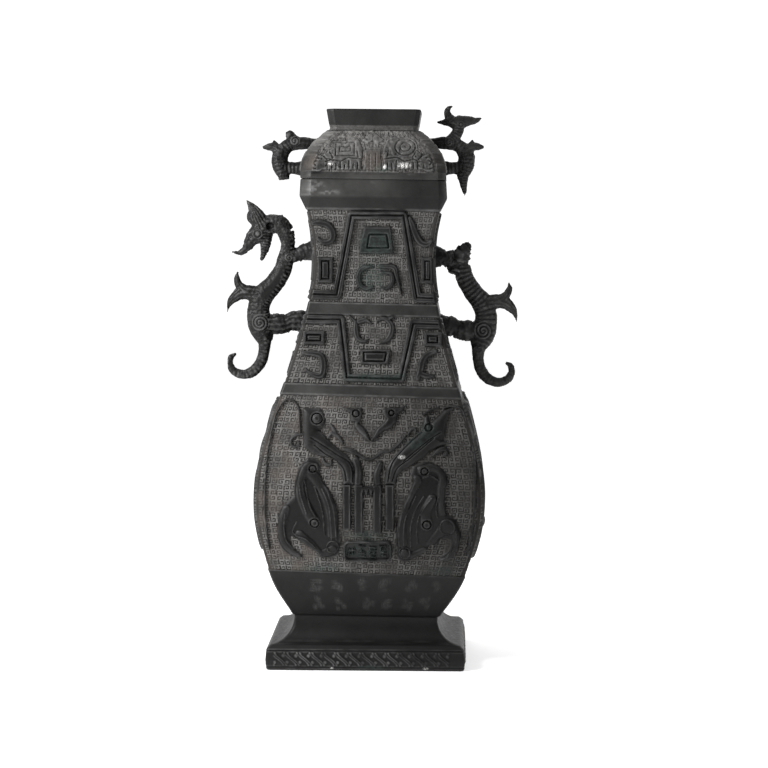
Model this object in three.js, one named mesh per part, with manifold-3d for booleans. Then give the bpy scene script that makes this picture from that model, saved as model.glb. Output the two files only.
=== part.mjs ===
// A lidded bronze vessel of rectangular section (fanghu) with two dragon handles on its narrow
// sides and two small creatures on the ends of its lid. One dragon has lost its head, and one
// of the small creatures its head and tail tip.
// Millimetres. X runs along the wide front, +Y away from the front, +Z up.
// The origin is on the ground under the middle of the whole width.
import * as THREE from "three";
import * as BufferGeometryUtils from "three/addons/utils/BufferGeometryUtils.js";
import Module from "manifold-3d";

const wasm = await Module();
wasm.setup();

// Overall form
const DEPTH_RATIO = 0.78; // narrow side to wide side of the section
const FOOT_CENTRE_X = -2; // the handles reach further to the right than to the left
const WALL = 4;
const FIT_GAP = 0.3; // between pieces that touch
const RELIEF_START = 24; // how far from the middle plane the relief prisms begin
const RELIEF_END = 110;

// Foot
const FOOT_HALF_WIDTH = 77.6;
const FOOT_EDGE = { z: 1.8, sole: 2.2, above: 0.5 }; // rounding: height, and how far in
const FOOT_BAND = { widest: 8, top: 16.2, topInset: 0.8 };
const FOOT_LEDGE = { z: 19.9, halfWidth: 73.4 };
const WAIST = { z: 38, halfWidth: 56 };
const FLARE_STEPS = 4;
const FOOT_WALL = 5;
const FOOT_HOLLOW_TOP = 34;
const FLOOR_TOP = 46;

// Plain surface from the waist to the collar: height, half width
const BODY_PROFILE = [
  [41, 58],
  [60, 69.3],
  [76, 76.3],
  [110, 85.3],
  [137, 87.3],
  [165, 84],
  [195, 76.2],
  [225, 66.4],
  [256, 57.2],
  [283, 50.4],
  [308, 46.9],
  [335, 47.8],
  [356, 51.9],
];
// Sunk grounds between plain bands: bottom, top, heights of the bends between them
const REGISTERS = {
  belly: { bottom: 76, top: 213.5, bends: [98, 125, 152, 182] },
  lowerNeck: { bottom: 221.5, top: 275, bends: [248] },
  upperNeck: { bottom: 284, top: 356, bends: [308, 335] },
};
const GROUND_DEPTH = 1;
const GROUND_STEP = 0.8; // height of the slope between a plain band and a ground

// Collar and mouth
const COLLAR = { bevelTop: 365.5, widest: 372, top: 379.5, halfWidth: 56.8, mouthHalfWidth: 56 };
const MOUTH_INSIDE = { neckZ: 352, z: 364, halfWidth: COLLAR.mouthHalfWidth - WALL };

// Lid
const LID = { bottom: COLLAR.top + FIT_GAP, rimTop: 384.8, rimHalfWidth: 56.2 };
const LID_DOME = [
  [392, 55],
  [400, 51.9],
  [407, 47],
  [413.5, 40.8],
  [417.6, 36.4],
];
const LID_RING = { base: 418.2, baseHalfWidth: 34.2, top: 434, topHalfWidth: 36.6 };
const LID_WALL = 3.2;
const LID_SLOPE_WALL = 1; // more where the dome slopes
const TONGUE = { depth: 5, wall: 2.5, clearance: 0.8 };

// Corner chamfers, left and right of the front
const SHARP_CORNER = [1.6, 1.6];
const COLLAR_CORNER = [9, 6];
const LID_CORNER = [8.5, 6];
const RING_CORNER = [5.5, 3.5];
const BODY_INSIDE_CORNER = [1, 1];
const MOUTH_INSIDE_CORNER = [5, 4];
const RING_INSIDE_CORNER = [3, 2];
const CUT_THROUGH = 1; // how far a cutting shape runs past what it opens

// The casting isn't true: above the foot its axis drifts to the right and its level lines fall
const AXIS_DRIFT = [
  [40, 0],
  [140, 3.3],
  [300, 5.6],
  [434, 5.6],
];
const LEVEL_FALL_DEGREES = [
  [20, 0],
  [76, 1.9],
  [280, 1.4],
  [434, 0.6],
];

// Relief heights above the plain surface
const NECK_RELIEF = 0.9;
const BELLY_RELIEF = 1.6;
const BOSS_RELIEF = 4;
const LID_RELIEF = 1.3;
const NECK_RELIEF_SHIFT = 2.5; // the neck's panels sit right of the axis

const BRONZE = { color: 0x35332f, roughness: 0.5, metalness: 0.65 };

// Values between the knots of a table of pairs, straight from one to the next
function interpolate(knots, z) {
  if (z <= knots[0][0]) return knots[0][1];
  for (let i = 1; i < knots.length; i += 1) {
    const [z0, v0] = knots[i - 1];
    const [z1, v1] = knots[i];
    if (z <= z1) return v0 + ((v1 - v0) * (z - z0)) / (z1 - z0);
  }
  return knots[knots.length - 1][1];
}

// The body's half width at a height, on a smooth curve through the profile's knots
function bodyHalfWidth(z) {
  const last = BODY_PROFILE.length - 1;
  let i = 1;
  while (i < last && z > BODY_PROFILE[i][0]) i += 1;
  const [z0, w0] = BODY_PROFILE[i - 1];
  const [z1, w1] = BODY_PROFILE[i];
  const [zBefore, wBefore] = BODY_PROFILE[Math.max(i - 2, 0)];
  const [zAfter, wAfter] = BODY_PROFILE[Math.min(i + 1, last)];
  const span = z1 - z0;
  const slope0 = ((w1 - wBefore) / (z1 - zBefore)) * span;
  const slope1 = ((wAfter - w0) / (zAfter - z0)) * span;
  const t = (z - z0) / span;
  const rise = 3 * t * t - 2 * t * t * t;
  const leave = t * (1 - t) * (1 - t);
  const arrive = t * t * (t - 1);
  return w0 + (w1 - w0) * rise + slope0 * leave + slope1 * arrive;
}

// An upright shape with its corners moved to where the crooked casting has them
function settled(shape) {
  const { vertProperties, triVerts } = shape.getMesh();
  for (let i = 0; i < vertProperties.length; i += 3) {
    const x = vertProperties[i];
    const z = vertProperties[i + 2];
    const fall = Math.tan(THREE.MathUtils.degToRad(interpolate(LEVEL_FALL_DEGREES, z)));
    vertProperties[i] = x + interpolate(AXIS_DRIFT, z);
    vertProperties[i + 2] = z - x * fall;
  }
  return new wasm.Manifold(new wasm.Mesh({ numProp: 3, vertProperties, triVerts }));
}

// A closed solid from a geometry with merged corners
function solid(geometry) {
  const bare = geometry.clone();
  bare.deleteAttribute("normal");
  bare.deleteAttribute("uv");
  const merged = BufferGeometryUtils.mergeVertices(bare, 1e-4);
  const vertProperties = new Float32Array(merged.attributes.position.array);
  const triVerts = new Uint32Array(merged.index.array);
  return new wasm.Manifold(new wasm.Mesh({ numProp: 3, vertProperties, triVerts }));
}

// The largest body of a shape, without the slivers that a cut can leave beside it
function withoutCrumbs(shape) {
  const bodies = shape.decompose();
  return bodies.reduce((best, next) => (next.volume() > best.volume() ? next : best));
}

function unite(solids) {
  return solids.reduce((whole, next) => whole.add(next));
}

// A named mesh from a solid
function piece(name, shape) {
  const mesh = shape.getMesh();
  const geometry = new THREE.BufferGeometry();
  geometry.setAttribute("position", new THREE.BufferAttribute(mesh.vertProperties, 3));
  geometry.setIndex(new THREE.BufferAttribute(mesh.triVerts, 1));
  geometry.computeVertexNormals();
  const result = new THREE.Mesh(geometry, new THREE.MeshStandardMaterial(BRONZE));
  result.name = name;
  return result;
}

// A closed solid through rings of points, each ring convex and of the same count
function loft(rings) {
  const count = rings[0].length;
  const positions = rings.flat(2);
  const index = [];
  for (let r = 0; r + 1 < rings.length; r += 1) {
    for (let i = 0; i < count; i += 1) {
      const a = r * count + i;
      const b = r * count + ((i + 1) % count);
      index.push(a, b, b + count, a, b + count, a + count);
    }
  }
  const top = (rings.length - 1) * count;
  for (let i = 1; i + 1 < count; i += 1) {
    index.push(0, i + 1, i, top, top + i, top + i + 1);
  }
  const geometry = new THREE.BufferGeometry();
  geometry.setAttribute("position", new THREE.Float32BufferAttribute(positions, 3));
  geometry.setIndex(index);
  return solid(geometry);
}

// One level of a vessel: a rectangle with chamfered corners, counter-clockwise from above
function level(z, halfWidth, corner = SHARP_CORNER) {
  const w = halfWidth;
  const d = halfWidth * DEPTH_RATIO;
  const [left, right] = corner;
  const outline = [
    [-w + left, -d],
    [w - right, -d],
    [w, -d + right],
    [w, d - right],
    [w - right, d],
    [-w + left, d],
    [-w, d - left],
    [-w, -d + left],
  ];
  return outline.map(([x, y]) => [x, y, z]);
}

// The same rings with every wall moved out or in by a distance
function levels(rows, offset = 0) {
  const grown = rows.map(([z, halfWidth, corner]) => {
    const w = halfWidth + offset;
    const ring = level(z, w, corner);
    const depthShift = offset * (1 - DEPTH_RATIO);
    return ring.map(([x, y, height]) => [x, y + Math.sign(y) * depthShift, height]);
  });
  return loft(grown);
}

function footRows() {
  const rows = [
    [0, FOOT_HALF_WIDTH - FOOT_EDGE.sole],
    [FOOT_EDGE.z, FOOT_HALF_WIDTH - FOOT_EDGE.above],
    [FOOT_BAND.widest, FOOT_HALF_WIDTH],
    [FOOT_BAND.top, FOOT_HALF_WIDTH - FOOT_BAND.topInset],
  ];
  for (let i = 0; i <= FLARE_STEPS; i += 1) {
    const angle = (i / FLARE_STEPS) * (Math.PI / 2);
    const inward = (FOOT_LEDGE.halfWidth - WAIST.halfWidth) * Math.sin(angle);
    const upward = (WAIST.z - FOOT_LEDGE.z) * (1 - Math.cos(angle));
    rows.push([FOOT_LEDGE.z + upward, FOOT_LEDGE.halfWidth - inward]);
  }
  return rows;
}

// Plain bands stand over sunk grounds
function bodyRows() {
  const rows = [BODY_PROFILE[0][0], 50, 62].map((z) => [z, bodyHalfWidth(z)]);
  for (const { bottom, top, bends } of Object.values(REGISTERS)) {
    rows.push([bottom, bodyHalfWidth(bottom)]);
    for (const z of [bottom + GROUND_STEP, ...bends, top - GROUND_STEP]) {
      rows.push([z, bodyHalfWidth(z) - GROUND_DEPTH]);
    }
    rows.push([top, bodyHalfWidth(top)]);
  }
  return rows;
}

function collarRows() {
  return [
    [COLLAR.bevelTop, COLLAR.halfWidth, COLLAR_CORNER],
    [COLLAR.widest, COLLAR.halfWidth, COLLAR_CORNER],
    [COLLAR.top, COLLAR.mouthHalfWidth, COLLAR_CORNER],
  ];
}

// The plain form that the relief is measured from
function plainRows() {
  const heights = [62, 76, 98, 125, 152, 182, 213.5, 248, 275, 308, 335, 356];
  return heights.map((z) => [z, bodyHalfWidth(z)]);
}

// An outline on the front, pushed through the surface and turned to one of the four faces
function prism(points, face) {
  const shape = new THREE.Shape(points.map(([u, z]) => new THREE.Vector2(u * face.scale, z)));
  const depth = RELIEF_END - RELIEF_START;
  const geometry = new THREE.ExtrudeGeometry(shape, { depth, bevelEnabled: false });
  geometry.rotateX(Math.PI / 2);
  geometry.translate(0, -RELIEF_START, 0);
  geometry.rotateZ(face.turn);
  return solid(geometry);
}

const FACES = ["front", "side", "back", "side"].map((kind, quarter) => ({
  kind,
  turn: (quarter * Math.PI) / 2,
  scale: kind === "side" ? DEPTH_RATIO : 1,
}));

// The outline of a stroke along a path, with a width at each point
function stroke(path) {
  const left = [];
  const right = [];
  path.forEach(([x, z, width], i) => {
    const [xa, za] = path[Math.max(i - 1, 0)];
    const [xb, zb] = path[Math.min(i + 1, path.length - 1)];
    const length = Math.hypot(xb - xa, zb - za);
    const nx = (-(zb - za) / length) * (width / 2);
    const nz = ((xb - xa) / length) * (width / 2);
    left.push([x + nx, z + nz]);
    right.unshift([x - nx, z - nz]);
  });
  return [...left, ...right];
}

// A stroke of one width along part of a circle
function arc(x, z, radius, from, to, width, steps = 4) {
  const path = [];
  for (let i = 0; i <= steps; i += 1) {
    const angle = THREE.MathUtils.degToRad(from + ((to - from) * i) / steps);
    path.push([x + radius * Math.cos(angle), z + radius * Math.sin(angle), width]);
  }
  return stroke(path);
}

function disc(x, z, radius, sides = 6) {
  const points = [];
  for (let i = 0; i < sides; i += 1) {
    const angle = (i / sides) * Math.PI * 2;
    points.push([x + radius * Math.cos(angle), z + radius * Math.sin(angle)]);
  }
  return points;
}

function rectangle(x0, z0, x1, z1) {
  return [
    [x0, z0],
    [x1, z0],
    [x1, z1],
    [x0, z1],
  ];
}

function mirrored(outline) {
  return outline.map(([x, z]) => [-x, z]).reverse();
}

function shifted(outline, dx) {
  return outline.map(([x, z]) => [x + dx, z]);
}

// Half of the meander band that frames a trapezoid in each of the neck's two registers
function neckFrames() {
  const band = 8.5;
  const upperFrame = stroke([
    [0, 352, 6.5],
    [19.5, 352, 6.5],
    [32.5, 290, band],
    [33.5, 289.8, band],
    [60, 290, band],
  ]);
  const lowerFrame = stroke([
    [0, 226.5, 6],
    [21.5, 226.5, 6],
    [29, 270, band],
    [30, 270.2, band],
    [70, 270, band],
  ]);
  return [upperFrame, lowerFrame];
}

function neckScrolls() {
  return [arc(16, 305, 9.5, 100, 260, 4.5), arc(13.5, 263.5, 8.5, -100, 75, 4.5)];
}

// The nested trapezoid and rectangles in and beside the neck's frames
function neckPanels() {
  const upperPanel = [
    [-13.5, 322.3],
    [13.5, 322.3],
    [10, 343.8],
    [-10, 343.8],
  ];
  const lowerPanel = rectangle(-11.5, 237, 11.5, 249.3);
  return [upperPanel, lowerPanel];
}

function neckCorner() {
  const upperBlock = rectangle(42, 300, 60, 320);
  const upperCurl = stroke([
    [32, 347, 4],
    [37, 338, 5],
    [41, 331, 5],
    [47, 330, 4],
  ]);
  const lowerBlock = rectangle(42, 251.5, 62, 262.5);
  const lowerCurl = stroke([
    [52, 245, 4],
    [42.5, 242, 5],
    [41.5, 233, 5],
    [39, 228, 4],
  ]);
  return [upperBlock, lowerBlock, upperCurl, lowerCurl];
}

// Half of the belly's design: a wing, and a palm on two bars that ends in a large head
function bellyHalf() {
  const wing = [
    [-1, 183.5],
    [-1, 179.5],
    [7, 186.5],
    [13, 191],
    [19, 197.5],
    [26, 206.5],
    [11, 204.5],
    [8, 201],
    [11.5, 196.5],
    [6.5, 190],
  ];
  const palm = stroke([
    [10.8, 138, 14],
    [11.5, 154, 15],
    [18, 165, 14],
    [31.5, 176, 12.5],
    [41.5, 186.5, 15],
    [46.5, 196, 18],
  ]);
  const head = stroke([
    [40, 190, 14],
    [50, 191, 17],
    [58, 197, 11],
    [66, 206.5, 1.5],
  ]);
  const outerBar = rectangle(13.2, 111.5, 19.2, 139);
  const innerBar = rectangle(4, 108.3, 10, 141);
  return [wing, palm, head, outerBar, innerBar];
}

// The ridge that arches from each large head to the corner, and the saddle between the palms
function ridges() {
  const ridge = stroke([
    [55.5, 184, 3],
    [57, 202, 3.5],
    [63, 209, 4],
    [72.5, 194, 3],
    [78.5, 175, 2.5],
  ]);
  const saddle = stroke([
    [0, 165.5, 4],
    [9, 167, 4],
    [20, 172, 4],
  ]);
  return [ridge, saddle];
}

function bellyBird() {
  const crown = stroke([
    [36, 152, 5],
    [42, 159, 9],
    [52, 159, 10],
    [55, 144, 9],
  ]);
  const breast = [
    [58.5, 146],
    [38, 147],
    [28.5, 139.5],
    [21.5, 128],
    [18.2, 106],
    [18.2, 88.5],
    [32, 87],
    [45.5, 97.5],
    [60, 99.5],
    [66, 118],
    [57, 126],
  ];
  const tail = arc(56.5, 104.5, 12.5, 75, -100, 6.5);
  return [breast, crown, tail];
}

function cartouche() {
  return [rectangle(-18, 86.8, 18, 103.4)];
}

function smallCurls() {
  return [disc(52, 179, 3.6), disc(28, 183.5, 3), disc(12.5, 171.5, 3)];
}

function boss() {
  return disc(40.5, 116.5, 4.2);
}

// Outlines on all four faces, kept within a skin that stands over the plain form
function relief(face, halves, wholes, skin, shift) {
  const both = halves.flatMap((outline) => [outline, mirrored(outline)]);
  const centre = face.kind === "front" ? shift : 0;
  const prisms = [...both, ...wholes].map((outline) => prism(shifted(outline, centre), face));
  return unite(prisms).intersect(skin);
}

function vesselRelief() {
  const neckSkin = levels(plainRows(), NECK_RELIEF);
  const bellySkin = levels(plainRows(), BELLY_RELIEF);
  const bossSkin = levels(plainRows(), BOSS_RELIEF);
  return FACES.flatMap((face) => {
    const front = face.kind === "front";
    const small = front ? [...ridges(), ...smallCurls()] : [];
    const birds = front ? bellyBird() : bellyBird().slice(0, 1);
    const scrolls = face.kind === "side" ? [] : neckScrolls();
    const corners = front ? neckCorner() : neckCorner().slice(0, 2);
    const neck = [...neckFrames(), ...scrolls, ...corners];
    return [
      relief(face, neck, neckPanels(), neckSkin, NECK_RELIEF_SHIFT),
      relief(face, [...bellyHalf(), ...birds, ...small], front ? cartouche() : [], bellySkin, 0),
      relief(face, [boss()], [], bossSkin, 0),
    ];
  });
}

function vesselHollow() {
  const rows = [FLOOR_TOP, 60, 80, 110, 137, 165, 195, 225, 256, 283, 308, 335, MOUTH_INSIDE.neckZ];
  const inner = rows.map((z) => [z, bodyHalfWidth(z) - WALL, BODY_INSIDE_CORNER]);
  const mouth = [MOUTH_INSIDE.z, COLLAR.top + CUT_THROUGH].map((z) => {
    return [z, MOUTH_INSIDE.halfWidth, MOUTH_INSIDE_CORNER];
  });
  const cavity = levels([...inner, ...mouth]);
  const flare = footRows().slice(-FLARE_STEPS - 1);
  const footInner = [
    [-CUT_THROUGH, FOOT_HALF_WIDTH - FOOT_WALL],
    [FOOT_BAND.top - FOOT_WALL, FOOT_HALF_WIDTH - FOOT_WALL],
    ...flare.slice(0, -1).map(([z, halfWidth]) => [z - WALL, halfWidth - FOOT_WALL]),
    [FOOT_HOLLOW_TOP, WAIST.halfWidth - WALL],
  ];
  return cavity.add(levels(footInner));
}

function vesselOutside() {
  return levels([...footRows(), ...bodyRows(), ...collarRows()]);
}

function lidRows() {
  return [
    [LID.bottom, LID.rimHalfWidth, LID_CORNER],
    [LID.rimTop, LID.rimHalfWidth, LID_CORNER],
    ...LID_DOME.map(([z, w]) => [z, w, LID_CORNER]),
  ];
}

function lidRing() {
  const rows = [
    [LID_RING.base - LID_WALL, LID_RING.baseHalfWidth, RING_CORNER],
    [LID_RING.base, LID_RING.baseHalfWidth, RING_CORNER],
    [LID_RING.top, LID_RING.topHalfWidth, RING_CORNER],
  ];
  return levels(rows);
}

function lidRingHollow() {
  const rows = [
    [LID_RING.base, LID_RING.baseHalfWidth - LID_WALL, RING_INSIDE_CORNER],
    [LID_RING.top + CUT_THROUGH, LID_RING.topHalfWidth - LID_WALL, RING_INSIDE_CORNER],
  ];
  return levels(rows);
}

function lidHollow() {
  const rim = LID.rimHalfWidth - LID_WALL - TONGUE.wall;
  const inner = [[LID.bottom - CUT_THROUGH, rim, MOUTH_INSIDE_CORNER]];
  for (const [z, halfWidth] of LID_DOME.slice(0, -1)) {
    inner.push([z - LID_WALL, halfWidth - LID_WALL - LID_SLOPE_WALL, MOUTH_INSIDE_CORNER]);
  }
  return levels(inner);
}

// The lip under the lid that drops into the vessel's mouth
function lidTongue() {
  const outer = MOUTH_INSIDE.halfWidth - TONGUE.clearance;
  const inner = outer - TONGUE.wall;
  const bottom = LID.bottom - TONGUE.depth;
  const top = LID.bottom + LID_WALL;
  const ring = levels([
    [bottom, outer, MOUTH_INSIDE_CORNER],
    [top, outer, MOUTH_INSIDE_CORNER],
  ]);
  const hole = levels([
    [bottom - CUT_THROUGH, inner, MOUTH_INSIDE_CORNER],
    [top + CUT_THROUGH, inner, MOUTH_INSIDE_CORNER],
  ]);
  return ring.subtract(hole);
}

function lidHalf() {
  const brow = stroke([
    [10, 412, 3],
    [17, 405, 4],
    [30, 410, 4],
    [38, 404, 3],
  ]);
  const jaw = arc(25, 391, 9, 150, 370, 4);
  const cheek = stroke([
    [38, 386, 4],
    [45, 396, 5],
    [42, 402, 3],
  ]);
  const eye = disc(24, 400.5, 5);
  return [brow, eye, jaw, cheek];
}

function lidWhole() {
  const shield = [
    [0, 416],
    [-9, 408],
    [0, 405],
    [9, 408],
  ];
  return [shield, rectangle(-7.5, 386, 7.5, 402)];
}

function lidRelief() {
  const skin = levels(lidRows().slice(1), LID_RELIEF);
  return FACES.map((face) => {
    const halves = face.kind === "front" ? lidHalf() : lidHalf().slice(0, 2);
    return relief(face, halves, lidWhole(), skin, 0);
  });
}

function filledLid() {
  return unite([levels(lidRows()), ...lidRelief(), lidRing()]);
}

// A rounded limb along a line in the plane of the handles: x, z and width at each point
function limb(spine, flatness, sides = 6) {
  const rings = spine.map(([x, z, width], i) => {
    const [xa, za] = spine[Math.max(i - 1, 0)];
    const [xb, zb] = spine[Math.min(i + 1, spine.length - 1)];
    const length = Math.hypot(xb - xa, zb - za);
    const across = [-(zb - za) / length, (xb - xa) / length];
    const ring = [];
    for (let s = 0; s < sides; s += 1) {
      const angle = ((s + 0.5) / sides) * Math.PI * 2;
      const side = (Math.cos(angle) * width) / 2;
      const depth = (Math.sin(angle) * width * flatness) / 2;
      ring.push([x + across[0] * side, depth, z + across[1] * side]);
    }
    return ring.reverse();
  });
  return loft(rings);
}

// A mirrored copy is turned, shrunk and moved in the plane of the handles
function placed(spine, { turn, scale, shift }) {
  const c = Math.cos(THREE.MathUtils.degToRad(turn)) * scale;
  const s = Math.sin(THREE.MathUtils.degToRad(turn)) * scale;
  return spine.map(([x, z, width]) => {
    return [-c * x - s * z + shift[0], -s * x + c * z + shift[1], width * scale];
  });
}

const DRAGON_FLATNESS = 0.72; // thickness over width
const CREATURE_FLATNESS = 0.8;

const DRAGON_BODY = [
  [-65, 338.5, 13.5],
  [-63.4, 328, 11],
  [-65.2, 318, 13.2],
  [-68, 308, 14.5],
  [-75, 297.5, 15.5],
  [-83, 289, 17.5],
  [-86.9, 278.6, 17.8],
  [-86.2, 267.5, 19.8],
  [-83.5, 257.5, 17],
  [-82.4, 251, 10.5],
];
const DRAGON_TAIL = [
  [-82.4, 256, 12],
  [-82.6, 245, 9.2],
  [-84.9, 236.3, 9.2],
  [-90.5, 229, 8.8],
  [-98.5, 225.6, 7.8],
  [-106.3, 227.8, 6.8],
  [-110.3, 233.5, 6],
  [-109.3, 239.3, 5.4],
  [-105, 242.2, 2.6],
];
const DRAGON_NECK_TOP = [
  [-80, 343.8, 15],
  [-75.5, 345.2, 15],
  [-69, 344.2, 14.5],
  [-65, 338.5, 13.5],
];
const DRAGON_UPPER_ARM = [
  [-66, 319, 11],
  [-56.5, 320.6, 10.6],
  [-49.8, 323, 13.6],
  [-38, 324.6, 20],
];
const DRAGON_LOWER_ARM = [
  [-82, 266, 14],
  [-70, 266, 16.6],
  [-63.6, 266.3, 13.2],
  [-58.8, 268.3, 16],
  [-45, 267.9, 17.4],
];
const DRAGON_FIN_UP = [
  [-88, 290, 12],
  [-97.5, 292, 10.5],
  [-102.5, 297.4, 6.6],
  [-104.2, 302.4, 4.8],
  [-103.2, 307.4, 1.4],
];
const DRAGON_FIN_DOWN = [
  [-88, 290, 12],
  [-99, 291, 11.4],
  [-106, 287, 8],
  [-110.8, 281.5, 5],
  [-112.3, 275, 1.4],
];
const DRAGON_SNOUT = [
  [-80, 343, 16],
  [-86, 338.5, 16.5],
  [-92, 333, 11.8],
  [-96, 326.8, 7.4],
  [-101.5, 322.4, 4.4],
  [-107.9, 323.4, 1.8],
];
const DRAGON_JAW = [
  [-80.5, 339, 11.5],
  [-81.2, 330, 8.8],
  [-82.4, 323, 5.8],
  [-84.6, 315.9, 2.6],
];
const DRAGON_CREST = [
  [-83.5, 343, 15],
  [-88.3, 352.5, 11.8],
  [-92, 359, 6.2],
  [-96.2, 363.7, 1.4],
];
const RIGHT_DRAGON = { turn: -3.46, scale: 0.981, shift: [-7.9, 4.8] };
const NECK_STUMP = [
  [73, 315, 13],
  [74.4, 321.5, 13],
  [77.5, 326.5, 9.5],
  [80.8, 329.4, 5.5],
];

function dragonTrunk() {
  return [DRAGON_BODY, DRAGON_TAIL, DRAGON_UPPER_ARM, DRAGON_LOWER_ARM, DRAGON_FIN_UP, DRAGON_FIN_DOWN];
}

function leftDragon() {
  const head = [DRAGON_NECK_TOP, DRAGON_SNOUT, DRAGON_JAW, DRAGON_CREST];
  return unite([...dragonTrunk(), ...head].map((spine) => limb(spine, DRAGON_FLATNESS)));
}

// The headless dragon: the trunk from the upper arm down, and a ragged stump of the neck
function rightDragon() {
  const spines = dragonTrunk().map((spine) => {
    const kept = spine === DRAGON_BODY ? spine.slice(2) : spine;
    return placed(kept, RIGHT_DRAGON);
  });
  return unite([...spines, NECK_STUMP].map((spine) => limb(spine, DRAGON_FLATNESS)));
}

const CREATURE_BODY = [
  [64.5, 409.5, 10.3],
  [72.3, 405.7, 10.8],
  [77.3, 399.3, 12.8],
  [77.5, 392, 13.2],
  [75.2, 385, 11],
  [74.6, 380, 8],
];
const CREATURE_TAIL = [
  [75.2, 385, 11],
  [75.3, 379.5, 7.6],
  [76, 372.7, 4.6],
  [76.8, 367.5, 1.4],
];
const CREATURE_UPPER_ARM = [
  [46, 407, 10],
  [53, 408.3, 8.8],
  [59.5, 408.7, 10],
  [67, 407.8, 10],
];
const CREATURE_LOWER_ARM = [
  [52, 388.4, 12.4],
  [60.8, 388.7, 11.8],
  [65.6, 389.1, 9.9],
  [76, 389.5, 9.5],
];
const CREATURE_FIN = [
  [75.5, 401, 11],
  [82.5, 405.6, 7.4],
  [87.4, 405.6, 5.6],
  [91.6, 405.4, 2.4],
];
const CREATURE_SPIKE = [
  [79, 403, 7.5],
  [82.6, 411.3, 1.8],
];
const CREATURE_NECK = [
  [64.5, 409.5, 10.4],
  [68.3, 413.2, 9.6],
  [71, 418, 8.8],
  [71.3, 423.5, 10.4],
];
const CREATURE_HEAD = [
  [67, 423, 8],
  [71.5, 424.6, 11.2],
  [79.5, 425.8, 8],
  [85, 426.2, 4.8],
  [89.4, 428.4, 1.6],
];
const CREATURE_EAR = [
  [70, 422.8, 8],
  [63, 424.8, 6],
  [54.2, 424.8, 1.8],
];
const CREATURE_CREST = [
  [67.5, 424.5, 8],
  [63, 430.8, 6.4],
  [63.1, 435, 4.2],
  [66.6, 437.6, 1.8],
];
const LEFT_CREATURE = { turn: 0, scale: 1, shift: [8.3, 0] };
const CREATURE_STUMP = [
  [-57, 409.5, 10],
  [-61, 414.5, 7.5],
  [-62.6, 418, 4.5],
];

function rightCreature() {
  const trunk = [CREATURE_BODY, CREATURE_TAIL, CREATURE_UPPER_ARM, CREATURE_LOWER_ARM];
  const head = [CREATURE_NECK, CREATURE_HEAD, CREATURE_EAR, CREATURE_CREST];
  const spines = [...trunk, CREATURE_FIN, CREATURE_SPIKE, ...head];
  return unite(spines.map((spine) => limb(spine, CREATURE_FLATNESS)));
}

// The same creature as on the right, with its head and tail broken off
function leftCreature() {
  const kept = [CREATURE_BODY.slice(0, -1), CREATURE_UPPER_ARM, CREATURE_LOWER_ARM];
  const spines = [...kept, CREATURE_FIN, CREATURE_SPIKE].map((spine) => placed(spine, LEFT_CREATURE));
  return unite([...spines, CREATURE_STUMP].map((spine) => limb(spine, CREATURE_FLATNESS)));
}

// A handle's ends follow the wall that they sit against, a gap away from it and its relief
function seated(handle, wall, towards) {
  const outward = towards * FIT_GAP;
  const raised = wall.translate([outward, 0, FIT_GAP]);
  const lowered = wall.translate([outward, 0, -FIT_GAP]);
  return withoutCrumbs(handle.subtract(raised).subtract(lowered));
}

const filledVessel = unite([vesselOutside(), ...vesselRelief()]);
const vessel = withoutCrumbs(filledVessel.subtract(vesselHollow()));
const vesselWall = settled(filledVessel);
const domedLid = filledLid();
const lid = domedLid.subtract(lidHollow()).subtract(lidRingHollow()).add(lidTongue());
const lidWall = settled(domedLid);

const whole = new THREE.Group();
whole.position.x = FOOT_CENTRE_X;
whole.add(piece("vessel", settled(vessel)));
whole.add(piece("lid", settled(lid)));
whole.add(piece("handle_left", seated(leftDragon(), vesselWall, -1)));
whole.add(piece("handle_right", seated(rightDragon(), vesselWall, 1)));
whole.add(piece("lid_handle_left", seated(leftCreature(), lidWall, -1)));
whole.add(piece("lid_handle_right", seated(rightCreature(), lidWall, 1)));

export default whole;
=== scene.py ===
import math

import bpy
import numpy as np
from mathutils import Matrix, Vector


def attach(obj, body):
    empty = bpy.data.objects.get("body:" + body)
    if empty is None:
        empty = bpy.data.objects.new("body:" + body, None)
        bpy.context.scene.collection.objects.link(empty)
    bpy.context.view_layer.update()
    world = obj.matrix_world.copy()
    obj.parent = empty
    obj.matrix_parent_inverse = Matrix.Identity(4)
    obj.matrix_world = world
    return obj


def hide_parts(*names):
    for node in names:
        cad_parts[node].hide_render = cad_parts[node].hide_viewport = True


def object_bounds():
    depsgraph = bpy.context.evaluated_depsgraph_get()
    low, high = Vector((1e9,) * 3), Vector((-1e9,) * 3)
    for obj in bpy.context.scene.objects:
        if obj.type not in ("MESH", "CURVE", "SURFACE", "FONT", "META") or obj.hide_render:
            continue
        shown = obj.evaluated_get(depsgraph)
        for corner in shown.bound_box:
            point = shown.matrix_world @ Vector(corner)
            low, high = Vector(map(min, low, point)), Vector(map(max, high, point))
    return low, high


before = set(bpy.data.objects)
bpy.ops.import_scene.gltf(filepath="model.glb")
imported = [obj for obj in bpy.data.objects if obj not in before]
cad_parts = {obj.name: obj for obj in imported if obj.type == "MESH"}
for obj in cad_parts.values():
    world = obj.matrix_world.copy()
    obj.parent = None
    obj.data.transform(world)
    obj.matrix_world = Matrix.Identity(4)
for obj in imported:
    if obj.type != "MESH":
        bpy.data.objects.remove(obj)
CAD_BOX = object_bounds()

MM = 0.001

# Overall form, as in the CAD
DEPTH_RATIO = 0.78
FOOT_CENTRE_X = -2.0
WALL = 4.0
BODY_Z = [41, 60, 76, 110, 137, 165, 195, 225, 256, 283, 308, 335, 356]
BODY_W = [58, 69.3, 76.3, 85.3, 87.3, 84, 76.2, 66.4, 57.2, 50.4, 46.9, 47.8, 51.9]

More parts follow.
